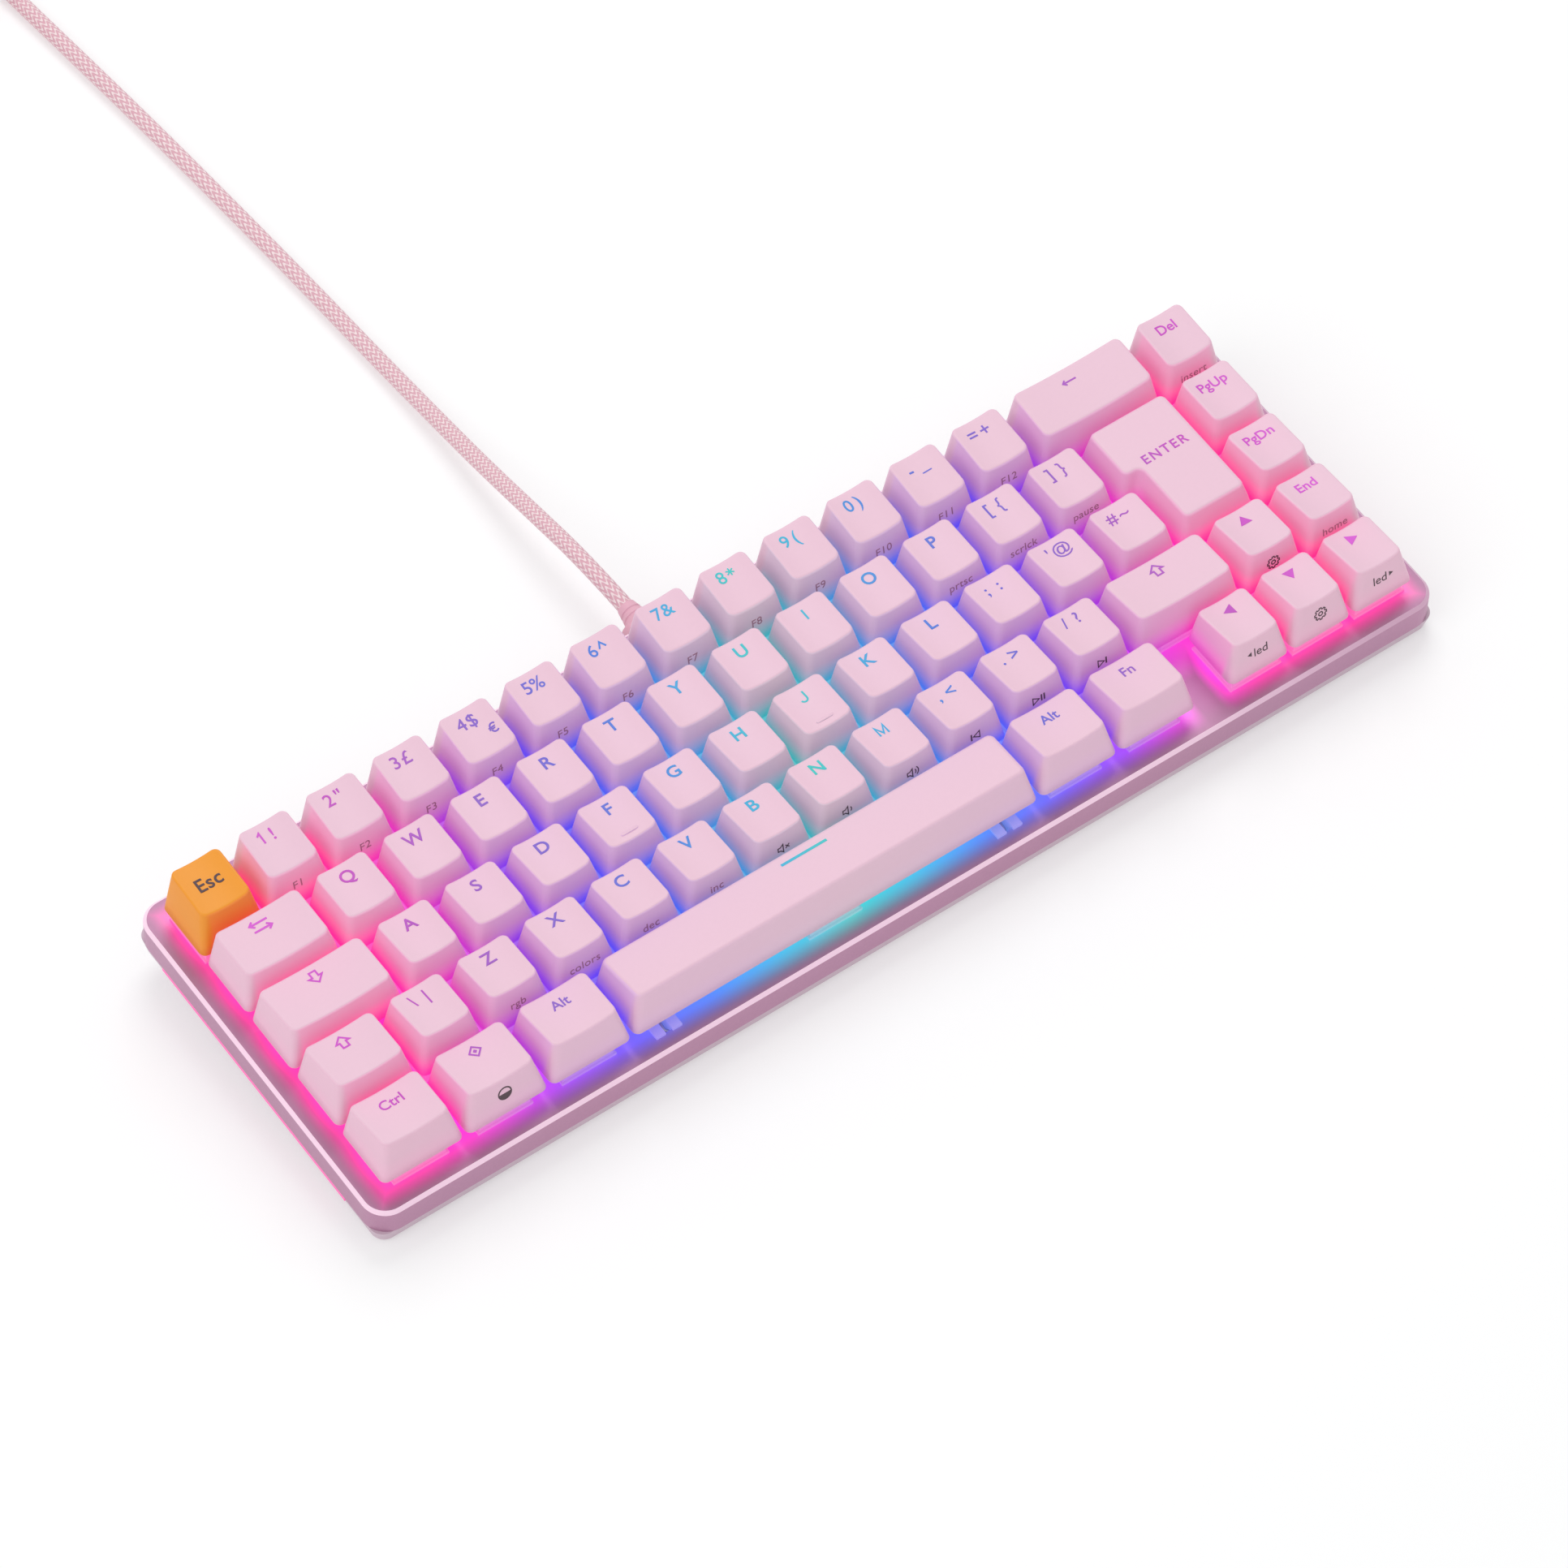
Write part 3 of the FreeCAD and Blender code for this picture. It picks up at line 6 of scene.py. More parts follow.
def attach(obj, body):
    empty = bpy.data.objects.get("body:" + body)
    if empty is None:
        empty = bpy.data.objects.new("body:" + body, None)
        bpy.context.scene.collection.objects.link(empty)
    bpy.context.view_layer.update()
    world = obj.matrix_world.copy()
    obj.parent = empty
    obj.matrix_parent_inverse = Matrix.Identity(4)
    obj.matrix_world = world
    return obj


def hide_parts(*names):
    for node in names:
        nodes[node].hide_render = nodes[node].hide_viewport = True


# Mechanical keyboard with pink caps, lit from below, and its braided cable. Blender works in metres;
# the deck's own measures below are in millimetres, as on a drawing, and are scaled once by MM.

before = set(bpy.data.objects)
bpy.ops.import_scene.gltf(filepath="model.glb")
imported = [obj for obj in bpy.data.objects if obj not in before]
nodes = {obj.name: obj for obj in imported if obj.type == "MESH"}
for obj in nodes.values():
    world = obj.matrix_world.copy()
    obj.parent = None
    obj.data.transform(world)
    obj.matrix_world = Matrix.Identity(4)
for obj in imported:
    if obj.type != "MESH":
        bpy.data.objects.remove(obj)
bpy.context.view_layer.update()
MM = 0.001

# ---------------------------------------------------------------- camera
CAMERA_PLACE = (-0.6480, -0.9473, 1.5068)
CAMERA_TARGET = (-0.00148, 0.00474, 0.0)
CAMERA_ROLL = math.radians(-1.747)
CAMERA_LENS = 178.6          # millimetres on a 36 mm sensor
CAMERA_SHIFT = (0.0019, -0.0008)


def make_camera():
    camera = bpy.data.objects.new("camera", bpy.data.cameras.new("camera"))
    bpy.context.scene.collection.objects.link(camera)
    camera.data.lens = CAMERA_LENS
    camera.data.sensor_width = 36.0
    camera.data.clip_start = 0.05
    camera.data.shift_x, camera.data.shift_y = CAMERA_SHIFT
    way = Vector(CAMERA_TARGET) - Vector(CAMERA_PLACE)
    look = way.to_track_quat("-Z", "Y").to_matrix().to_4x4()
    camera.matrix_world = Matrix.Translation(CAMERA_PLACE) @ look @ Matrix.Rotation(CAMERA_ROLL, 4, "Z")
    bpy.context.scene.camera = camera


make_camera()

# ---------------------------------------------------------------- the deck and its keys
PITCH = 19.05
TILT = math.radians(4.0)
DECK = Matrix.Translation((0, -0.31 * MM, 16.45 * MM)) @ Matrix.Rotation(TILT, 4, "X")
SKIRT = 5.0                  # caps' lower edge above the plate
GAP = 0.95                   # between neighbouring caps
LEAN = 2.27                  # how far a cap's sides lean in
WALL = 1.5
ROOF = 1.3
DISH = 0.8
CORNER = 1.8
SLIDER_X, SLIDER_Y = 3.4, 2.6    # half sizes of a switch's slider
STEM_TOP = 6.5
BORE, BORE_TOP = 2.15, 4.4   # half width and top of the hollow for the spring
CROSS_X, CROSS_Y = 2.0, 0.6  # half sizes of the slider's cross
CROSS_TOP = 10.0
POST_RADIUS = 2.65           # the post under the cap that grips the cross

# each row's top face: front edge's y and z, back edge's y and z
ROWS = {
    "number": (-6.3, 17.4, 8.4, 18.4),
    "upper": (-6.4, 16.1, 8.55, 15.8),
    "home": (-6.35, 16.35, 8.6, 14.7),
    "lower": (-6.5, 17.5, 8.3, 15.4),
    "space": (-6.3, 16.5, 8.6, 14.4),
    "enter": (-15.9, 15.6, 18.1, 15.6),
}

# key plan: row, its middle in pitches, then (node or block, width, legend, front print) from the left
NUMBERS, UPPERS, LOWERS = "number_keys", "upper_letter_keys", "lower_letter_keys"
PLAN = [
    ("number", 2, [("key_esc", 1, "Esc", None), (NUMBERS, 1, "1!", "F1"), (NUMBERS, 1, '2"', "F2"),
                   (NUMBERS, 1, "3£", "F3"), (NUMBERS, 1, "4$", "F4"), (NUMBERS, 1, "5%", "F5"),
                   (NUMBERS, 1, "6^", "F6"), (NUMBERS, 1, "7&", "F7"), (NUMBERS, 1, "8*", "F8"),
                   (NUMBERS, 1, "9(", "F9"), (NUMBERS, 1, "0)", "F10"), (NUMBERS, 1, "-_", "F11"),
                   (NUMBERS, 1, "=+", "F12"), ("key_backspace", 2, "@arrow_back", None),
                   ("key_delete", 1, "Del", "insert")]),
    ("upper", 1, [("key_tab", 1.5, "@tab", None), (UPPERS, 1, "Q", None), (UPPERS, 1, "W", None),
                  (UPPERS, 1, "E", None), (UPPERS, 1, "R", None), (UPPERS, 1, "T", None),
                  (UPPERS, 1, "Y", None), (UPPERS, 1, "U", None), (UPPERS, 1, "I", None),
                  (UPPERS, 1, "O", None), (UPPERS, 1, "P", "prtsc"), (UPPERS, 1, "[{", "scrlck"),
                  (UPPERS, 1, "]}", "pause"), (None, 1.5, None, None), ("key_page_up", 1, "PgUp", None)]),
    ("home", 0, [("key_caps_lock", 1.75, "@outline_down", None), ("key_a", 1, "A", None),
                 ("key_s", 1, "S", None), ("key_d", 1, "D", None), ("key_f", 1, "F", None),
                 ("key_g", 1, "G", None), ("key_h", 1, "H", None), ("key_j", 1, "J", None),
                 ("key_k", 1, "K", None), ("key_l", 1, "L", None),
                 ("key_semicolon", 1, ";:", None), ("key_quote", 1, "'@", None), (LOWERS, 1, "#~", None),
                 (None, 1.25, None, None), ("key_page_down", 1, "PgDn", None)]),
    ("lower", -1, [("key_left_shift", 1.25, "@outline_up", None), (LOWERS, 1, "\\|", None),
                   (LOWERS, 1, "Z", "rgb"), (LOWERS, 1, "X", "colors"), (LOWERS, 1, "C", "dec"),
                   (LOWERS, 1, "V", "inc"), (LOWERS, 1, "B", "@mute"), (LOWERS, 1, "N", "@quiet"),
                   (LOWERS, 1, "M", "@loud"), (LOWERS, 1, ",<", "@previous"), (LOWERS, 1, ".>", "@play"),
                   (LOWERS, 1, "/?", "@next"),
                   ("key_right_shift", 1.75, "@outline_up", None), ("key_arrow_up", 1, "@up", "@gear"),
                   ("key_end", 1, "End", "home")]),
    ("space", -2, [("key_left_ctrl", 1.25, "Ctrl", None), ("key_system", 1.25, "@system", "@half_disc"),
                   ("key_left_alt", 1.25, "Alt", None), ("key_space", 6.25, "@bar", None),
                   ("key_right_alt", 1.25, "Alt", None), ("key_fn", 1.25, "Fn", None),
                   (None, 0.5, None, None), ("key_arrow_left", 1, "@left", "@led_left"),
                   ("key_arrow_down", 1, "@down", "@gear"), ("key_arrow_right", 1, "@right", "@led_right")]),
]
LEFT_END = -8.0              # where the rows begin, in pitches
ENTER_PLACE = (6.375, 0.5)
BAY_X = 4.75                 # the gap left of the arrow keys, in pitches
LEGEND_Y = 4.45              # middle of the legends behind the key's middle
PRINT_Z = 11.4               # middle of the front prints above the plate
HOMING_Y = -4.2              # the ridges on F and J
MARK_HALF = 0.04             # half the thickness of a drawn mark
TOP_PROUD, FRONT_PROUD = 0.03, 0.02  # how far a mark's middle stands off the cap
FONT_CAPS = 0.70             # the font's capitals as a share of its size

# ---------------------------------------------------------------- the light under the keys
# colour by distance from the middle of the cool patch, which drifts to the right towards the back
GLOW_STOPS = [(0.0, (0.00, 0.62, 0.55)), (0.13, (0.01, 0.50, 0.72)), (0.27, (0.03, 0.24, 0.90)),
              (0.42, (0.09, 0.10, 0.92)), (0.55, (0.28, 0.05, 0.85)), (0.68, (0.70, 0.03, 0.62)),
              (0.82, (1.00, 0.02, 0.42)), (1.0, (1.00, 0.015, 0.36))]
LEGEND_STOPS = [(0.0, (0.045, 0.55, 0.52)), (0.13, (0.045, 0.40, 0.68)), (0.27, (0.07, 0.205, 0.68)),
                (0.42, (0.156, 0.127, 0.61)), (0.55, (0.262, 0.115, 0.546)), (0.68, (0.402, 0.091, 0.515)),
                (0.82, (0.54, 0.070, 0.50)), (1.0, (0.66, 0.095, 0.62))]
GLOW_REACH = 150.0
COOL_X, COOL_DRIFT = -2.0, 0.32
RIM_X, RIM_Y = 147.5, 42.5       # beyond these a cap's wall looks outwards, where less light wells up
SPILL_X, SPILL_Y = 149.0, 44.6   # within these the light on the plate is full


# ---------------------------------------------------------------- material building
class Nodes:
    """A material's node tree with short calls for what the materials here share."""

    def __init__(self, name):
        self.material = bpy.data.materials.new(name)
        self.material.use_nodes = True
        self.tree = self.material.node_tree
        self.shader = self.tree.nodes["Principled BSDF"]

    def add(self, kind, **settings):
        node = self.tree.nodes.new(kind)
        for key, value in settings.items():
            setattr(node, key, value)
        return node

    def link(self, source, target):
        self.tree.links.new(source, target)

    def math(self, operation, first, second=None):
        node = self.add("ShaderNodeMath", operation=operation)
        for socket, value in zip(node.inputs, (first, second)):
            if value is None:
                continue
            if isinstance(value, (int, float)):
                socket.default_value = value
            else:
                self.link(value, socket)
        return node.outputs[0]

    def scaled(self, value, factor, offset):
        """value times factor plus offset; the offset may be a number or a socket."""
        node = self.add("ShaderNodeMath", operation="MULTIPLY_ADD")
        self.link(value, node.inputs[0])
        node.inputs[1].default_value = factor
        if isinstance(offset, (int, float)):
            node.inputs[2].default_value = offset
        else:
            self.link(offset, node.inputs[2])
        return node.outputs[0]

    def smooth(self, value, low, high):
        """0 at low, 1 at high, eased."""
        node = self.add("ShaderNodeMapRange", interpolation_type="SMOOTHSTEP", clamp=True)
        self.link(value, node.inputs["Value"])
        node.inputs["From Min"].default_value = low
        node.inputs["From Max"].default_value = high
        return node.outputs[0]

    def ramp(self, value, stops):
        node = self.add("ShaderNodeValToRGB")
        ramp = node.color_ramp
        while len(ramp.elements) < len(stops):
            ramp.elements.new(0.5)
        for element, (place, colour) in zip(ramp.elements, stops):
            element.position = place
            element.color = (*colour, 1.0)
        self.link(value, node.inputs["Fac"])
        return node.outputs["Color"]

    def mix(self, factor, first, second):
        node = self.add("ShaderNodeMix", data_type="RGBA")
        for socket, value in zip((node.inputs[0], node.inputs[6], node.inputs[7]), (factor, first, second)):
            if isinstance(value, tuple):
                socket.default_value = (*value, 1.0)
            elif isinstance(value, (int, float)):
                socket.default_value = value
            else:
                self.link(value, socket)
        return node.outputs[2]

    def place(self):
        """The point's x, y, z in millimetres on the deck, whatever the body's pose."""
        coordinates = self.add("ShaderNodeTexCoord").outputs["Object"]
        turn = self.add("ShaderNodeMapping", vector_type="TEXTURE")
        turn.inputs["Location"].default_value = DECK.translation
        turn.inputs["Rotation"].default_value = (TILT, 0, 0)
        turn.inputs["Scale"].default_value = (MM, MM, MM)
        self.link(coordinates, turn.inputs["Vector"])
        split = self.add("ShaderNodeSeparateXYZ")
        self.link(turn.outputs[0], split.inputs[0])
        return split.outputs[0], split.outputs[1], split.outputs[2], turn.outputs[0]

    def glow_colour(self, x, y, stops=GLOW_STOPS):
        middle = self.scaled(y, COOL_DRIFT, COOL_X)
        away = self.math("ABSOLUTE", self.math("SUBTRACT", x, middle))
        return self.ramp(self.math("DIVIDE", away, GLOW_REACH), stops)

    def noise(self, scale, detail=3.0, vector=None):
        node = self.add("ShaderNodeTexNoise")
        node.inputs["Scale"].default_value = scale
        node.inputs["Detail"].default_value = detail
        if vector is None:
            vector = self.add("ShaderNodeTexCoord").outputs["Object"]
        self.link(vector, node.inputs["Vector"])
        return node.outputs["Fac"]

    def bump(self, height, strength, distance):
        node = self.add("ShaderNodeBump")
        node.inputs["Strength"].default_value = strength
        node.inputs["Distance"].default_value = distance
        self.link(height, node.inputs["Height"])
        self.link(node.outputs[0], self.shader.inputs["Normal"])

    def upness(self):
        """How squarely a face looks up from the deck: one on the plate, nought on a wall."""
        facing = self.add("ShaderNodeVectorMath", operation="DOT_PRODUCT")
        facing.inputs[1].default_value = DECK.to_3x3() @ Vector((0, 0, 1))
        self.link(self.add("ShaderNodeNewGeometry").outputs["Normal"], facing.inputs[0])
        return facing.outputs["Value"]

    def set(self, **values):
        for name, value in values.items():
            socket = self.shader.inputs[name.replace("_", " ")]
            if isinstance(value, tuple):
                value = (*value, 1.0)
            socket.default_value = value


def varied(nodes_, colour, amount, scale=900.0):
    """A colour with a slight, fine unevenness."""
    darker = tuple(c * (1 - amount) for c in colour)
    return nodes_.mix(nodes_.noise(scale), darker, colour)


def moulded(name, colour, roughness, grain=0.25):
    """Fine-grained moulded plastic."""
    n = Nodes(name)
    n.link(varied(n, colour, 0.06), n.shader.inputs["Base Color"])
    n.set(Roughness=roughness)
    n.bump(n.noise(4200.0, 2.0), grain, 0.00004)
    return n.material


def keycap_material(name, colour, deep, glow, taken):
    """Doubleshot plastic with a silky face, tinted low down by the light that wells up between the keys."""
    n = Nodes(name)
    x, y, z, _ = n.place()
    light = n.glow_colour(x, y)
    tint = n.mix(taken, deep, light)
    outside = n.math("MAXIMUM", n.math("SUBTRACT", n.math("ABSOLUTE", x), RIM_X),
                     n.math("SUBTRACT", n.math("ABSOLUTE", y), RIM_Y))
    between = n.scaled(n.smooth(outside, 0.0, 2.0), -0.75, 1.0)
    wall = n.math("SUBTRACT", 1.0, n.smooth(n.upness(), 0.80, 0.95))
    low = n.math("SUBTRACT", 1.0, n.smooth(z, 3.5, 16.5))
    low = n.math("MAXIMUM", low, n.math("MULTIPLY", wall, 0.36))
    lit = n.math("MULTIPLY", low, between)
    through = n.mix(n.math("MULTIPLY", lit, 0.75), varied(n, colour, 0.03), tint)
    share = n.math("MULTIPLY", n.math("POWER", lit, 2.5), 0.45)
    n.link(n.mix(share, through, light), n.shader.inputs["Base Color"])
    n.set(Roughness=0.46, Specular_IOR_Level=0.42)
    n.bump(n.noise(5200.0, 2.0), 0.18, 0.00003)
    n.link(n.mix(n.math("POWER", lit, 1.3), tint, light), n.shader.inputs["Emission Color"])
    n.link(n.math("MULTIPLY", lit, glow), n.shader.inputs["Emission Strength"])
    return n.material


def legend_material():
    """Clear plastic flush with the cap, lit by the lamp below."""
    n = Nodes("legend")
    x, y, _, _ = n.place()
    colour = n.glow_colour(x, y, LEGEND_STOPS)
    n.link(n.mix(n.noise(700.0), n.mix(0.55, colour, (0, 0, 0)), n.mix(0.40, colour, (0, 0, 0))),
           n.shader.inputs["Base Color"])
    n.link(colour, n.shader.inputs["Emission Color"])
    n.set(Roughness=0.4, Specular_IOR_Level=0.3, Emission_Strength=0.50)
    return n.material


def plate_material():
    """Pink-mauve anodised metal with a polished chamfer, lighter than the body and painted near-white as a
    highlight that fades towards the right, and the lamps' light spilling over the plate.
    """
    n = Nodes("anodised_frame")
    x, y, z, flat = n.place()
    upness = n.upness()
    sloping = n.math("SUBTRACT", 1.0, n.smooth(upness, 0.78, 0.9))
    chamfer = n.math("MULTIPLY", n.smooth(upness, 0.45, 0.62), sloping)
    body = n.mix(n.noise(1500.0), (0.480, 0.245, 0.380), (0.540, 0.285, 0.430))
    top = n.smooth(upness, 0.9, 0.99)
    body = n.mix(top, body, (0.370, 0.190, 0.300))
    # painted highlight: the polished chamfer is near-white on the left and fades to a dimmer pink towards the
    # right
    edge = n.mix(n.smooth(x, 60.0, 150.0), (0.98, 0.70, 0.86), (0.66, 0.40, 0.55))
    n.link(n.mix(chamfer, body, edge), n.shader.inputs["Base Color"])
    n.link(n.scaled(chamfer, -0.6, 0.6), n.shader.inputs["Metallic"])
    n.set(Roughness=0.44)
    n.bump(n.noise(6500.0, 2.0, flat), 0.20, 0.00003)
    # light on the plate: full among the keys, gone just inside the chamfer, scalloped by the keys,
    # and faint in the bay beside the arrow keys, where no lamp stands
    beyond_x = n.math("SUBTRACT", n.math("ABSOLUTE", x), SPILL_X)
    beyond_y = n.math("SUBTRACT", n.math("ABSOLUTE", y), SPILL_Y)
    beyond = n.math("MAXIMUM", n.math("MAXIMUM", beyond_x, beyond_y), 0.0)
    fade = n.math("SUBTRACT", 1.0, n.smooth(beyond, 0.0, 7.0))
    scallops = n.math("COSINE", n.math("MULTIPLY", y, 2 * math.pi / PITCH))
    scallops = n.scaled(scallops, 0.14, 0.86)
    strength = n.math("MULTIPLY", n.math("MULTIPLY", n.math("POWER", fade, 1.1), scallops), top)
    bay_x = n.smooth(n.math("ABSOLUTE", n.math("SUBTRACT", x, BAY_X * PITCH)), 1.5, 6.5)
    bay_y = n.smooth(y, -40.0, -26.0)
    strength = n.math("MULTIPLY", strength, n.math("MAXIMUM", n.math("MAXIMUM", bay_x, bay_y), 0.10))
    n.link(n.glow_colour(x, y), n.shader.inputs["Emission Color"])
    strength = n.math("MULTIPLY", strength, n.smooth(z, -1.0, -0.5))
    n.link(n.math("MULTIPLY", strength, 1.25), n.shader.inputs["Emission Strength"])
    return n.material


def lit_plastic(name, colour, strength):
    """Milky plastic that carries the lamps' light."""
    n = Nodes(name)
    x, y, _, _ = n.place()
    n.link(varied(n, colour, 0.08), n.shader.inputs["Base Color"])
    n.set(Roughness=0.35, Emission_Strength=strength)
    n.bump(n.noise(3800.0, 2.0), 0.2, 0.00003)
    n.link(n.mix(0.12, n.glow_colour(x, y), (1.0, 0.9, 1.0)), n.shader.inputs["Emission Color"])
    return n.material


def metal(name, colour, roughness=0.3):
    """Drawn or plated metal with fine brushing."""
    n = Nodes(name)
    n.link(varied(n, colour, 0.12, 1400.0), n.shader.inputs["Base Color"])
    n.set(Metallic=1.0, Roughness=roughness)
    n.bump(n.noise(6000.0, 2.0), 0.15, 0.00002)
    return n.material


def plug_material():
    """Pink moulding with a plated steel tongue beyond the point where it leaves the moulding."""
    n = Nodes("usb_a_plug")
    x = n.add("ShaderNodeSeparateXYZ")
    n.link(n.add("ShaderNodeTexCoord").outputs["Object"], x.inputs[0])
    tongue = n.math("LESS_THAN", x.outputs[0], PLUG_TONGUE)
    n.link(n.mix(tongue, varied(n, PLUG_PINK, 0.06), (0.66, 0.66, 0.68)), n.shader.inputs["Base Color"])
    n.link(tongue, n.shader.inputs["Metallic"])
    n.link(n.scaled(tongue, -0.25, 0.52), n.shader.inputs["Roughness"])
    n.bump(n.noise(4200.0, 2.0), 0.2, 0.00003)
    return n.material


def braid_material(length, diameter):
    """Woven sleeve: two sets of strands that cross on the slant, pink with pale flecks, with painted shade in
    the valleys between the strand columns.
    """
    n = Nodes("braid")
    split = n.add("ShaderNodeSeparateXYZ")
    n.link(n.add("ShaderNodeTexCoord").outputs["UV"], split.inputs[0])
    along = n.math("MULTIPLY", split.outputs[0], length / diameter * 5.0 * 2 * math.pi)
    columns = n.math("SINE", n.math("MULTIPLY", split.outputs[1], 2 * math.pi * 8))
    stitch = n.math("SINE", n.scaled(columns, 2.4, along))
    pale = n.smooth(stitch, -0.1, 0.6)
    # painted shade: the valleys between the strand columns are darkened
    valley_shade = n.math("SUBTRACT", 1.0, n.smooth(n.math("ABSOLUTE", columns), 0.0, 0.5))
    ply = n.mix(pale, (0.68, 0.33, 0.41), (0.86, 0.70, 0.71))
    shaded = n.mix(n.math("MULTIPLY", valley_shade, 0.35), ply, (0.55, 0.27, 0.34))
    flecked = n.mix(0.25, shaded, (0.95, 0.85, 0.86))
    n.link(n.mix(n.noise(2600.0, 1.0), shaded, flecked), n.shader.inputs["Base Color"])
    n.set(Roughness=0.65, Sheen_Weight=0.3, Sheen_Roughness=0.4)
    n.bump(stitch, 0.4, 0.00012)
    return n.material


def floor_material():
    n = Nodes("floor")
    n.link(n.mix(n.noise(3.0), (0.645, 0.650, 0.650), (0.655, 0.660, 0.660)), n.shader.inputs["Base Color"])
    n.set(Roughness=0.9, Specular_IOR_Level=0.1, Emission_Color=(1.0, 1.0, 1.0), Emission_Strength=0.33)
    return n.material


PINK = (0.800, 0.535, 0.650)
PLUG_PINK = (0.78, 0.43, 0.53)
PLUG_TONGUE = -0.1052        # the tongue's root along x, in metres
MATERIALS = {
    "cap": keycap_material("keycap_pink", PINK, (0.84, 0.45, 0.62), 0.29, 0.34),
    "orange": keycap_material("keycap_orange", (0.86, 0.32, 0.020), (0.80, 0.18, 0.02), 0.22, 0.0),
    "legend": legend_material(),
    "print": moulded("front_print", (0.40, 0.20, 0.27), 0.6),
    "icon": moulded("front_icon", (0.085, 0.050, 0.065), 0.6),
    "stem": lit_plastic("stem_plastic", (0.60, 0.52, 0.58), 0.22),
}

# ---------------------------------------------------------------- outlines and meshes
def prism_faces(count):
    """Faces of a closed prism whose points are its lower ring and then its upper ring."""
    faces = [list(range(count))[::-1], list(range(count, 2 * count))]
    return faces + [[n, (n + 1) % count, count + (n + 1) % count, count + n] for n in range(count)]


class Shape:
    """Vertices in millimetres from a key's middle on the plate, and faces with a material slot each."""

    def __init__(self):
        self.points, self.faces, self.slots, self.smooth = [], [], [], []

    def add(self, points, faces, slot, smooth=False):
        base = len(self.points)
        self.points += [Vector(p) for p in points]
        self.faces += [[base + n for n in face] for face in faces]
        self.slots += [slot] * len(faces)
        self.smooth += [smooth] * len(faces)

    def skin(self, rings, slot):
        """A closed skin: quads between successive rings, a face over the last and one under the first."""
        base, count = len(self.points), len(rings[0])
        faces = []
        for start in range(0, (len(rings) - 1) * count, count):
            for n in range(count):
                m = (n + 1) % count
                faces.append([start + n, start + m, start + count + m, start + count + n])
        self.add([p for ring in rings for p in ring], faces, slot, True)
        last = base + (len(rings) - 1) * count
        self.faces += [[last + n for n in range(count)], [base + n for n in range(count)][::-1]]
        self.slots += [slot, slot]
        self.smooth += [True, False]

    def prism(self, outline, low, high, slot):
        """A closed upright prism on a level outline, anticlockwise from above."""
        points = [(x, y, low) for x, y in outline] + [(x, y, high) for x, y in outline]
        self.add(points, prism_faces(len(outline)), slot)

    def build(self, name, keys, place):
        mesh = bpy.data.meshes.new(name)
        matrix = DECK @ Matrix.Translation(Vector(place) * MM)
        mesh.from_pydata([matrix @ (p * MM) for p in self.points], [], self.faces)
        used = [slot for slot in keys if slot in self.slots]
        for slot in used:
            mesh.materials.append(MATERIALS[slot])
        mesh.polygons.foreach_set("material_index", [used.index(slot) for slot in self.slots])
        mesh.polygons.foreach_set("use_smooth", self.smooth)
        mesh.validate()
        mesh.update()
        piece = bpy.data.objects.new(name, mesh)
        bpy.context.scene.collection.objects.link(piece)
        return piece


def rounded(corners, radius, inset, steps, splits=None):
    """Points anticlockwise round an outline of square corners, inset and rounded; splits divide its edges."""
    corners = [Vector(c) for c in corners]
    count = len(corners)
    normals = []
    for n in range(count):
        edge = (corners[(n + 1) % count] - corners[n]).normalized()
        normals.append(Vector((edge.y, -edge.x)))
    arcs = []
    for n in range(count):
        before, after = normals[n - 1], normals[n]
        side = 1 if before.x * after.y - before.y * after.x > 0 else -1
        bend = max(radius - side * inset, 0.05)
        centre = corners[n] - (before + after) * (inset + side * bend)
        arcs.append([centre + (before * math.cos(a) + after * math.sin(a)) * side * bend
                     for a in (k * math.pi / 2 / steps for k in range(steps + 1))])
    ring = []
    for n, arc in enumerate(arcs):
        ring += arc
        parts = splits[n] if splits else 1
        start, end = arc[-1], arcs[(n + 1) % count][0]
        ring += [start.lerp(end, k / parts) for k in range(1, parts)]
    return ring


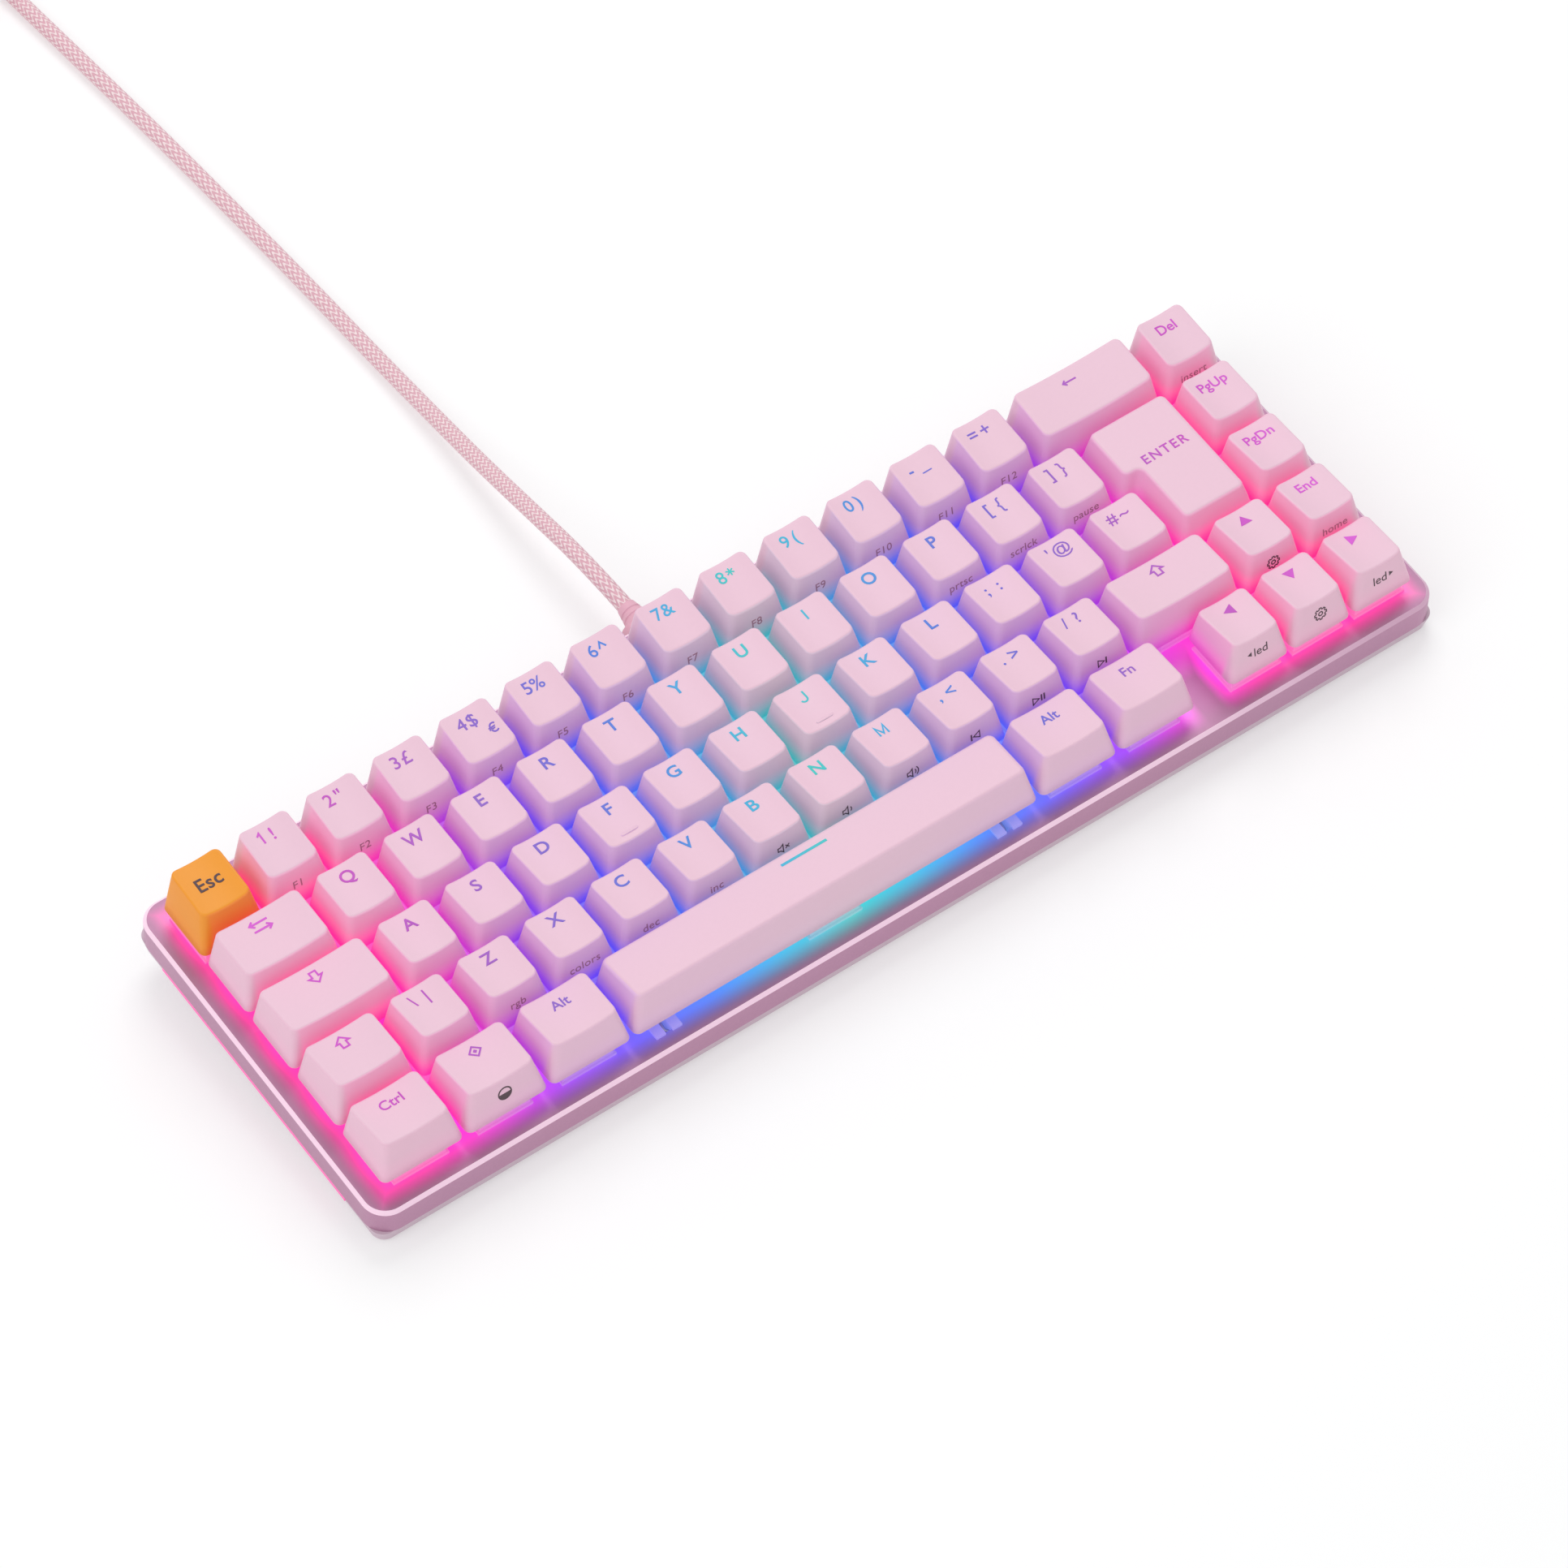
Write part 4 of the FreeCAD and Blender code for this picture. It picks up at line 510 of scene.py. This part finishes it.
class Cap:
    """The outer form of one cap: level sections, and the dished or flat top."""

    def __init__(self, row, units):
        self.row, self.units = row, units
        self.front_y, self.front_z, self.back_y, self.back_z = ROWS[row]
        self.middle_z = (self.front_z + self.back_z) / 2
        self.dished = row != "enter" and units < 6
        span = units * PITCH - GAP - 2 * LEAN
        self.dish_radius = (span ** 2 / 4 + DISH ** 2) / (2 * DISH)
        self.floor_z = min(self.front_z, self.back_z) - (DISH if self.dished else 0.5) - ROOF

    def section(self, z):
        """Corners of the level section at a height."""
        rise = z - SKIRT
        if self.row == "enter":
            share = rise / (self.front_z - SKIRT)
            right = PITCH * 0.625 - GAP / 2 - LEAN * share
            upper_left = -PITCH * 0.875 + GAP / 2 + LEAN * share
            edge = PITCH - GAP / 2
            front, back = -edge + (self.front_y + edge) * share, edge + (self.back_y - edge) * share
            step = GAP / 2 + LEAN * share
            return [(-right, front), (right, front), (right, back), (upper_left, back), (upper_left, step),
                    (-right, step)]
        side = (PITCH * self.units - GAP) / 2 - LEAN * rise / (self.middle_z - SKIRT)
        edge = (PITCH - GAP) / 2
        front = -edge + (self.front_y + edge) * rise / (self.front_z - SKIRT)
        back = edge + (self.back_y - edge) * rise / (self.back_z - SKIRT)
        return [(-side, front), (side, front), (side, back), (-side, back)]

    def front_at(self, z):
        return self.section(z)[0][1]

    def top(self, x, y):
        share = (y - self.front_y) / (self.back_y - self.front_y)
        z = self.front_z + (self.back_z - self.front_z) * share
        if self.dished:
            reach = min(abs(x), self.dish_radius)
            z -= DISH - (self.dish_radius - math.sqrt(self.dish_radius ** 2 - reach ** 2))
        return z

    def ring(self, z, inset=0.0, radius=CORNER):
        across = max(2, round(self.units * 6))
        splits = None if self.row == "enter" else [across, 3, across, 3]
        return [(p.x, p.y, z) for p in rounded(self.section(z), radius, inset, 5, splits)]

    def top_ring(self, inset, drop):
        """A ring that follows the top face, lowered by drop."""
        middle = self.section(self.middle_z)
        ring = []
        for x, y, _ in self.ring(self.middle_z, inset):
            z = self.top(x, y) - drop
            if self.row != "enter":
                here = self.section(z)
                x *= here[1][0] / middle[1][0]
                share = (y - middle[0][1]) / (middle[2][1] - middle[0][1])
                y = here[0][1] + share * (here[2][1] - here[0][1])
                z = self.top(x, y) - drop
            ring.append((x, y, z))
        return ring

    def mesh(self, shape, slot):
        """Skirt, sides, rounded top edge, top face and hollow underside as one closed skin."""
        edge = 0.6 if self.dished else 0.95
        inner_floor = [(x, y, self.floor_z) for x, y, _ in self.ring(self.floor_z, WALL, 1.2)]
        inner_mouth = self.ring(SKIRT, WALL, 1.2)
        rings = [inner_floor, inner_mouth, self.ring(SKIRT, 0.12)]
        rings += [self.ring(SKIRT + rise) for rise in (0.12, 3.0, 6.0)]
        for step in range(6):
            angle = step * math.pi / 10
            rings.append(self.top_ring(edge * (1 - math.cos(angle)), edge * (1 - math.sin(angle))))
        rings.append(self.top_ring(edge + 0.3, 0.0))
        if self.row != "enter":
            middle_y = (self.front_y + self.back_y) / 2
            last = rings[-1]
            for share in (0.8, 0.6, 0.4, 0.2):
                ring = []
                for x, y, _ in last:
                    x, y = x * share, middle_y + (y - middle_y) * share
                    ring.append((x, y, self.top(x, y)))
                rings.append(ring)
        shape.skin(rings, slot)

    def stem(self, shape):
        """The slider under the cap, hollow for its spring, its cross, and the post that grips it."""
        def slab(x0, x1, y0, y1, low, high):
            shape.prism([(x0, y0), (x1, y0), (x1, y1), (x0, y1)], low, high, "stem")
        slab(-SLIDER_X, -BORE, -SLIDER_Y, SLIDER_Y, 0.0, BORE_TOP)
        slab(BORE, SLIDER_X, -SLIDER_Y, SLIDER_Y, 0.0, BORE_TOP)
        slab(-BORE, BORE, -SLIDER_Y, -BORE, 0.0, BORE_TOP)
        slab(-BORE, BORE, BORE, SLIDER_Y, 0.0, BORE_TOP)
        slab(-SLIDER_X, SLIDER_X, -SLIDER_Y, SLIDER_Y, BORE_TOP, STEM_TOP)
        slab(-CROSS_X, CROSS_X, -CROSS_Y, CROSS_Y, STEM_TOP - 0.4, CROSS_TOP)
        post = [(POST_RADIUS * math.cos(angle), POST_RADIUS * math.sin(angle))
                for angle in (k * math.pi / 12 for k in range(24))]
        shape.prism(post, STEM_TOP + 0.1, self.floor_z + 0.3, "stem")


# ---------------------------------------------------------------- legends
def text_mesh(words, height, spacing=1.0, weight=0.045):
    """(points, faces) of a word with the given cap height, centred on the origin, as a thin solid."""
    curve = bpy.data.curves.new("words", "FONT")
    curve.body = words
    curve.align_x, curve.align_y = "CENTER", "BOTTOM_BASELINE"
    curve.size = height / FONT_CAPS
    curve.space_character = spacing
    curve.extrude = 0.03
    curve.bevel_depth = weight
    curve.bevel_resolution = 0
    curve.resolution_u = 4
    item = bpy.data.objects.new("words", curve)
    bpy.context.scene.collection.objects.link(item)
    mesh = bpy.data.meshes.new_from_object(item.evaluated_get(bpy.context.evaluated_depsgraph_get()))
    points = [v.co - Vector((0, height / 2, 0)) for v in mesh.vertices]
    faces = [list(p.vertices) for p in mesh.polygons]
    bpy.data.objects.remove(item)
    bpy.data.curves.remove(curve)
    bpy.data.meshes.remove(mesh)
    return points, faces


def flat_solid(outline):
    """(points, faces) of a thin solid on a plane outline, anticlockwise."""
    points = [Vector((x, y, z)) for z in (-MARK_HALF, MARK_HALF) for x, y in outline]
    return points, prism_faces(len(outline))


def stroke(path, width, closed=False):
    """(points, faces) of a line of constant width along a plane path, mitred at its corners."""
    path = [Vector(p) for p in path]
    count = len(path)
    left, right = [], []
    for n, point in enumerate(path):
        ways = []
        if n or closed:
            ways.append((point - path[n - 1]).normalized())
        if n < count - 1 or closed:
            ways.append((path[(n + 1) % count] - point).normalized())
        across = sum((Vector((-w.y, w.x)) for w in ways), Vector((0, 0))).normalized()
        reach = width / 2 / max(across.dot(Vector((-ways[0].y, ways[0].x))), 0.35)
        left.append(point + across * reach)
        right.append(point - across * reach)
    points, faces = [], []
    for a, b in zip(left, right):
        points += [Vector((p.x, p.y, h)) for p in (a, b) for h in (-MARK_HALF, MARK_HALF)]
    pairs = count if closed else count - 1
    for n in range(pairs):
        i, j = 4 * n, 4 * ((n + 1) % count)
        faces += [[i + 1, i + 3, j + 3, j + 1], [i, j, j + 2, i + 2]]
        faces += [[i, i + 1, j + 1, j], [i + 2, j + 2, j + 3, i + 3]]
    if not closed:
        end = 4 * (count - 1)
        faces += [[0, 2, 3, 1], [end, end + 1, end + 3, end + 2]]
    return points, faces


def merged(*pieces):
    points, faces = [], []
    for more_points, more_faces in pieces:
        base = len(points)
        points += more_points
        faces += [[base + n for n in face] for face in more_faces]
    return points, faces


def moved(piece, x, y=0.0, scale=1.0):
    points, faces = piece
    return [Vector((p.x * scale + x, p.y * scale + y, p.z)) for p in points], faces


def arc(radius, start, end, steps, x=0.0, y=0.0):
    angles = [math.radians(start) + k * math.radians(end - start) / steps for k in range(steps + 1)]
    return [(x + radius * math.cos(angle), y + radius * math.sin(angle)) for angle in angles]


TRIANGLE = [(-1.7, -1.4), (1.7, -1.4), (0.0, 1.55)]
ARROW = [(-0.75, -1.4), (0.75, -1.4), (0.75, 0.1), (1.6, 0.1), (0.0, 1.7), (-1.6, 0.1), (-0.75, 0.1)]
SPEAKER = [(-0.9, -0.4), (-0.4, -0.4), (0.2, -0.95), (0.2, 0.95), (-0.4, 0.4), (-0.9, 0.4)]


def turned(outline, degrees):
    c, s = math.cos(math.radians(degrees)), math.sin(math.radians(degrees))
    return [(x * c - y * s, x * s + y * c) for x, y in outline]


def long_arrow(sign, y):
    """A thin arrow that points left or right."""
    shaft = stroke([(-sign * 1.9, y), (sign * 1.9, y)], 0.42)
    head = stroke([(sign * 1.1, y + 0.75), (sign * 2.0, y), (sign * 1.1, y - 0.75)], 0.42)
    return merged(shaft, head)


def gear(radius):
    teeth = []
    for k in range(8):
        for share, reach in ((-0.32, 0.78), (-0.2, 1.0), (0.2, 1.0), (0.32, 0.78)):
            angle = (k + share) * math.pi / 4
            teeth.append((radius * reach * math.cos(angle), radius * reach * math.sin(angle)))
    return merged(stroke(teeth, 0.22, True), stroke(arc(radius * 0.33, 0, 330, 11), 0.22, True))


def star(radius, width):
    """A six-armed asterisk."""
    arms = [[(radius * math.cos(a), radius * math.sin(a)), (-radius * math.cos(a), -radius * math.sin(a))]
            for a in (math.pi / 2, math.pi / 6, -math.pi / 6)]
    return merged(*(stroke(arm, width) for arm in arms))


def symbols():
    """Every drawn mark by name."""
    line = 0.20
    speaker = stroke(SPEAKER, line, True)
    skip = turned([(x * 0.46, y * 0.46) for x, y in TRIANGLE], -90)
    back_skip = [(-x, y) for x, y in skip][::-1]
    bar = stroke([(0.0, -0.75), (0.0, 0.75)], 0.3)
    near_wave = stroke(arc(0.75, -40, 40, 5, 0.2), line)
    far_wave = stroke(arc(1.3, -45, 45, 6, 0.2), line)
    crossed = merged(stroke([(0.7, -0.4), (1.5, 0.4)], line), stroke([(0.7, 0.4), (1.5, -0.4)], line))
    return {
        "J": stroke([(0.75, 1.62)] + arc(0.9, 0, -165, 8, -0.15, -0.72), 0.48),
        "1": stroke([(-0.75, 0.75), (0.1, 1.55), (0.1, -1.62)], 0.48),
        "I": stroke([(0.0, 1.62), (0.0, -1.62)], 0.50),
        "M": stroke([(-1.2, -1.62), (-1.2, 1.4), (0.0, -1.1), (1.2, 1.4), (1.2, -1.62)], 0.46),
        "^": moved(stroke([(-0.95, -0.65), (0.0, 1.1), (0.95, -0.65)], 0.45), 0.0, 0.2),
        "*": moved(star(1.1, 0.36), 0.0, 0.4),
        "arrow_back": moved(long_arrow(-1, 0.0), -1.1, 0.0),
        "tab": moved(merged(long_arrow(-1, 0.85), long_arrow(1, -0.85)), -0.6, 0.0, 1.25),
        "outline_up": moved(stroke(ARROW, 0.42, True), -0.4, 0.0, 1.12),
        "outline_down": moved(stroke(turned(ARROW, 180), 0.42, True), -0.1, 0.3, 1.12),
        "up": flat_solid(TRIANGLE),
        "down": flat_solid(turned(TRIANGLE, 180)),
        "left": flat_solid(turned(TRIANGLE, 90)),
        "right": flat_solid(turned(TRIANGLE, -90)),
        "system": merged(stroke([(0, -1.6), (1.6, 0), (0, 1.6), (-1.6, 0)], 0.45, True),
                         flat_solid([(0, -0.6), (0.6, 0), (0, 0.6), (-0.6, 0)])),
        "bar": stroke([(-6.6, 0.0), (6.6, 0.0)], 0.75),
        "mute": merged(speaker, crossed),
        "quiet": merged(speaker, near_wave),
        "loud": merged(speaker, near_wave, far_wave),
        "previous": merged(moved(bar, -0.9), moved(stroke(back_skip, line, True), 0.25)),
        "next": merged(moved(bar, 0.9), moved(stroke(skip, line, True), -0.25)),
        "play": merged(moved(stroke(skip, line, True), -0.7), moved(bar, 0.55), moved(bar, 1.15)),
        "gear": gear(1.35),
        "half_disc": merged(stroke(arc(1.3, 0, 345, 23), 0.28, True), flat_solid(arc(1.15, 180, 360, 12))),
        "led_left": merged(moved(flat_solid(turned(TRIANGLE, 90)), -2.0, 0.0, 0.3),
                           moved(text_mesh("led", 1.9, 1.0, 0.0), 0.5)),
        "led_right": merged(moved(flat_solid(turned(TRIANGLE, -90)), 2.0, 0.0, 0.3),
                            moved(text_mesh("led", 1.9, 1.0, 0.0), -0.5)),
    }


SYMBOLS = symbols()


def character(letter, height, weight):
    return SYMBOLS[letter] if letter in SYMBOLS else text_mesh(letter, height, weight=weight)


def mark(words, height):
    """A drawn mark for an @name, a spaced pair of characters, or a word."""
    if len(words) > 1 and words[0] == "@":
        return SYMBOLS[words[1:]]
    if len(words) == 2 and not words.isalpha():
        places = (-1.95, 0.95) if words[0].isdigit() else (-2.3, 1.3)
        return merged(*(moved(character(letter, height, 0.03), x) for letter, x in zip(words, places)))
    return text_mesh(words, height) if len(words) > 1 else character(words, height, 0.075)


def lay_on_top(shape, cap, piece, x, y, slot):
    """Lays a plane mark on the cap's top face."""
    points, faces = piece
    placed = [(p.x + x, p.y + y, cap.top(p.x + x, p.y + y) + TOP_PROUD + p.z) for p in points]
    shape.add(placed, faces, slot)


def lay_on_front(shape, cap, piece, z, slot):
    """Prints a plane mark on the cap's front face."""
    points, faces = piece
    placed = [(p.x, cap.front_at(z + p.y) - FRONT_PROUD - p.z, z + p.y) for p in points]
    shape.add(placed, faces, slot)


def homing_bar(shape, cap):
    """The small ridge that a fingertip finds."""
    outline = rounded([(-2.4, -0.36), (2.4, -0.36), (2.4, 0.36), (-2.4, 0.36)], 0.35, 0.0, 4)
    rings = []
    for share, lift in ((1.0, -0.1), (1.0, 0.08), (0.86, 0.20), (0.5, 0.25)):
        wide = 0.9 + 0.1 * share
        rings.append([(p.x * wide, p.y * share + HOMING_Y, cap.top(p.x, HOMING_Y) + lift) for p in outline])
    shape.skin(rings, "cap")


CAP_SLOTS = ("cap", "orange", "legend", "print", "icon", "stem")


def build_key(name, row, units, place, legend, front, body):
    cap = Cap(row, units)
    shape = Shape()
    cap.mesh(shape, "orange" if body == "key_esc" else "cap")
    cap.stem(shape)
    if legend == "Esc":
        lay_on_top(shape, cap, text_mesh("Esc", 3.6, 1.05, 0.07), -0.1, 1.6, "icon")
    elif legend:
        word = len(legend) > 2 and not legend.startswith("@")
        height = 2.8 if word or legend == "Fn" else 3.5
        drop = 0.3 if word else 0.0
        y = 5.6 if legend == "@bar" else LEGEND_Y - drop
        lay_on_top(shape, cap, mark(legend, height), -0.25, y, "legend")
    if legend == "4$":
        lay_on_top(shape, cap, text_mesh("€", 2.6), 3.8, -0.3, "legend")
    if legend in ("F", "J"):
        homing_bar(shape, cap)
    if front and front.startswith("@"):
        lay_on_front(shape, cap, moved(mark(front, 0), 0.0, 0.0, 1.35), PRINT_Z, "icon")
    elif front:
        lay_on_front(shape, cap, text_mesh(front, 2.3, 1.05, 0.0), PRINT_Z, "print")
    piece = shape.build(name, CAP_SLOTS, (place[0] * PITCH, place[1] * PITCH, 0))
    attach(piece, body)
    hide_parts(body)


def build_keys():
    tally = {}
    for row, uy, caps in PLAN:
        left = LEFT_END
        for body, units, legend, front in caps:
            if body:
                tally[body] = tally.get(body, 0) + 1
                name = f"cap_{body}_{tally[body]}" if body in (NUMBERS, UPPERS, LOWERS) else f"cap_{body}"
                build_key(name, row, units, (left + units / 2, uy), legend, front, body)
            left += units


def build_enter():
    cap = Cap("enter", 0)
    shape = Shape()
    cap.mesh(shape, "cap")
    cap.stem(shape)
    lay_on_top(shape, cap, text_mesh("ENTER", 2.7, 1.25), -0.9, 4.0, "legend")
    piece = shape.build("cap_key_enter", CAP_SLOTS, (ENTER_PLACE[0] * PITCH, ENTER_PLACE[1] * PITCH, 0))
    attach(piece, "key_enter")
    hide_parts("key_enter")


# ---------------------------------------------------------------- cable
CABLE_DIAMETER = 4.4
CABLE_LENGTH = 1.46
CABLE_EXIT = DECK @ (Vector((-6.0, 63.4, -8.2)) * MM)
ROUTE = [(-6.1, 82, 13.1), (-6.6, 105, 10.6), (-6.5, 127, 7.1), (-6.1, 150, 4.1), (-6.3, 176, 2.4),
         (-7.0, 206, 2.23), (-8.3, 240, 2.26), (-9.9, 276, 2.23), (-12.0, 310, 2.27), (-13.8, 338, 2.23),
         (-14.7, 358, 2.27)]
TAIL = [(-44, 391.0, 10.2), (-56, 391.3, 7.2), (-68, 391.2, 5.0), (-80, 391.0, 4.4)]
COIL_PLACE = (-42.0, 364.0, 7.1)
COIL_RADIUS = 25.0
COIL_TURNS = 7.25
POINTS_A_TURN = 15
# where each turn lies in the bundle, outwards and upwards from its middle, in cable diameters
TURN_SPOTS = [(0.5, -0.87), (-0.5, -0.87), (-1.0, 0.0), (0.0, 0.0), (1.0, 0.0), (-0.5, 0.87), (0.5, 0.87),
              (0.5, 0.87)]


def coil_points():
    """The wound turns, each passing to the next one's place over its last part."""
    points = []
    for n in range(1, int(COIL_TURNS * POINTS_A_TURN)):
        turns = n / POINTS_A_TURN
        spot = int(turns)
        share = max(0.0, (turns - spot - 0.6) / 0.4)
        share = share * share * (3 - 2 * share)
        here = Vector(TURN_SPOTS[spot])
        there = Vector(TURN_SPOTS[min(spot + 1, len(TURN_SPOTS) - 1)])
        out, up = here.lerp(there, share) * CABLE_DIAMETER
        angle = 2 * math.pi * turns
        reach = COIL_RADIUS + out
        points.append((COIL_PLACE[0] + reach * math.cos(angle), COIL_PLACE[1] + reach * math.sin(angle),
                       COIL_PLACE[2] + up))
    return points


def build_cable():
    curve = bpy.data.curves.new("braided_cable", "CURVE")
    curve.dimensions = "3D"
    curve.bevel_depth = CABLE_DIAMETER / 2 * MM
    curve.bevel_resolution = 6
    curve.resolution_u = 8
    curve.use_fill_caps = True
    spline = curve.splines.new("NURBS")
    points = [CABLE_EXIT] + [Vector(p) * MM for p in ROUTE + coil_points() + TAIL]
    spline.points.add(len(points) - 1)
    for point, place in zip(spline.points, points):
        point.co = (*place, 1.0)
    spline.order_u = 3
    spline.use_endpoint_u = True
    curve.materials.append(braid_material(CABLE_LENGTH, CABLE_DIAMETER * MM))
    piece = bpy.data.objects.new("braided_cable", curve)
    bpy.context.scene.collection.objects.link(piece)
    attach(piece, "chassis")
    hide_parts("usb_cable", "cable_coil")


build_cable()

# ---------------------------------------------------------------- finishes of the carried-over parts
def finish_nodes():
    plug = moulded("plug_plastic", PLUG_PINK, 0.52)
    steel = metal("spring_steel", (0.62, 0.62, 0.65))
    case = moulded("case_plastic", (0.62, 0.47, 0.56), 0.5)
    milky = lit_plastic("switch_plastic", (0.44, 0.26, 0.38), 0.62)
    finishes = {
        "top_frame": plate_material(),
        "bottom_case": case,
        "fold_foot_left": case,
        "fold_foot_right": case,
        "side_light_bars": lit_plastic("diffuser", (0.70, 0.08, 0.32), 0.42),
        "circuit_board": moulded("solder_mask", (0.010, 0.014, 0.020), 0.35),
        "lights": lit_plastic("lamp_lens", (0.9, 0.88, 0.8), 3.0),
        "circuit_chips": moulded("chip_resin", (0.012, 0.012, 0.013), 0.5),
        "switch_bases": milky,
        "switch_lids": milky,
        "switch_springs": steel,
        "switch_contacts": metal("contact_brass", (0.72, 0.48, 0.22)),
        "stabiliser_housings": milky,
        "stabiliser_wire_space": steel,
        "stabiliser_wire_backspace": steel,
        "stabiliser_wire_enter": steel,
        "case_screws": metal("screw_steel", (0.35, 0.35, 0.37), 0.35),
        "rubber_pads": moulded("pad_rubber", (0.02, 0.02, 0.021), 0.8, 0.5),
        "usb_socket": metal("socket_shell", (0.70, 0.70, 0.72), 0.25),
        "usb_c_plug": plug,
        "cable_strain_relief": plug,
        "coil_tie": moulded("tie_fabric", (0.03, 0.025, 0.03), 0.9, 0.8),
        "usb_a_plug": plug_material(),
    }
    for name, material in finishes.items():
        mesh = nodes[name].data
        mesh.materials.clear()
        mesh.materials.append(material)


finish_nodes()
build_keys()
build_enter()

# ---------------------------------------------------------------- floor and light
def build_floor():
    mesh = bpy.data.meshes.new("floor")
    half = 6.0
    corners = [(-half, -half, 0), (half, -half, 0), (half, half, 0), (-half, half, 0)]
    mesh.from_pydata(corners, [], [(0, 1, 2, 3)])
    mesh.materials.append(floor_material())
    floor = bpy.data.objects.new("floor", mesh)
    bpy.context.scene.collection.objects.link(floor)


def area_light(name, place, target, size, power, colour=(1.0, 1.0, 1.0)):
    light = bpy.data.lights.new(name, "AREA")
    light.shape = "DISK"
    light.size = size
    light.energy = power
    light.color = colour
    item = bpy.data.objects.new(name, light)
    bpy.context.scene.collection.objects.link(item)
    way = Vector(target) - Vector(place)
    item.matrix_world = Matrix.Translation(place) @ way.to_track_quat("-Z", "Y").to_matrix().to_4x4()


def build_light():
    area_light("key_light", (0.55, 0.75, 1.5), (0, 0, 0), 1.1, 9.0)
    area_light("fill_light", (-1.2, -0.3, 1.3), (0, 0, 0), 1.4, 7.0, (1.0, 0.98, 0.99))
    world = bpy.data.worlds.new("studio")
    bpy.context.scene.world = world
    world.use_nodes = True
    world.node_tree.nodes["Background"].inputs["Color"].default_value = (1.0, 1.0, 1.0, 1.0)
    world.node_tree.nodes["Background"].inputs["Strength"].default_value = 0.69
    bpy.context.scene.view_settings.view_transform = "Standard"


build_floor()
build_light()
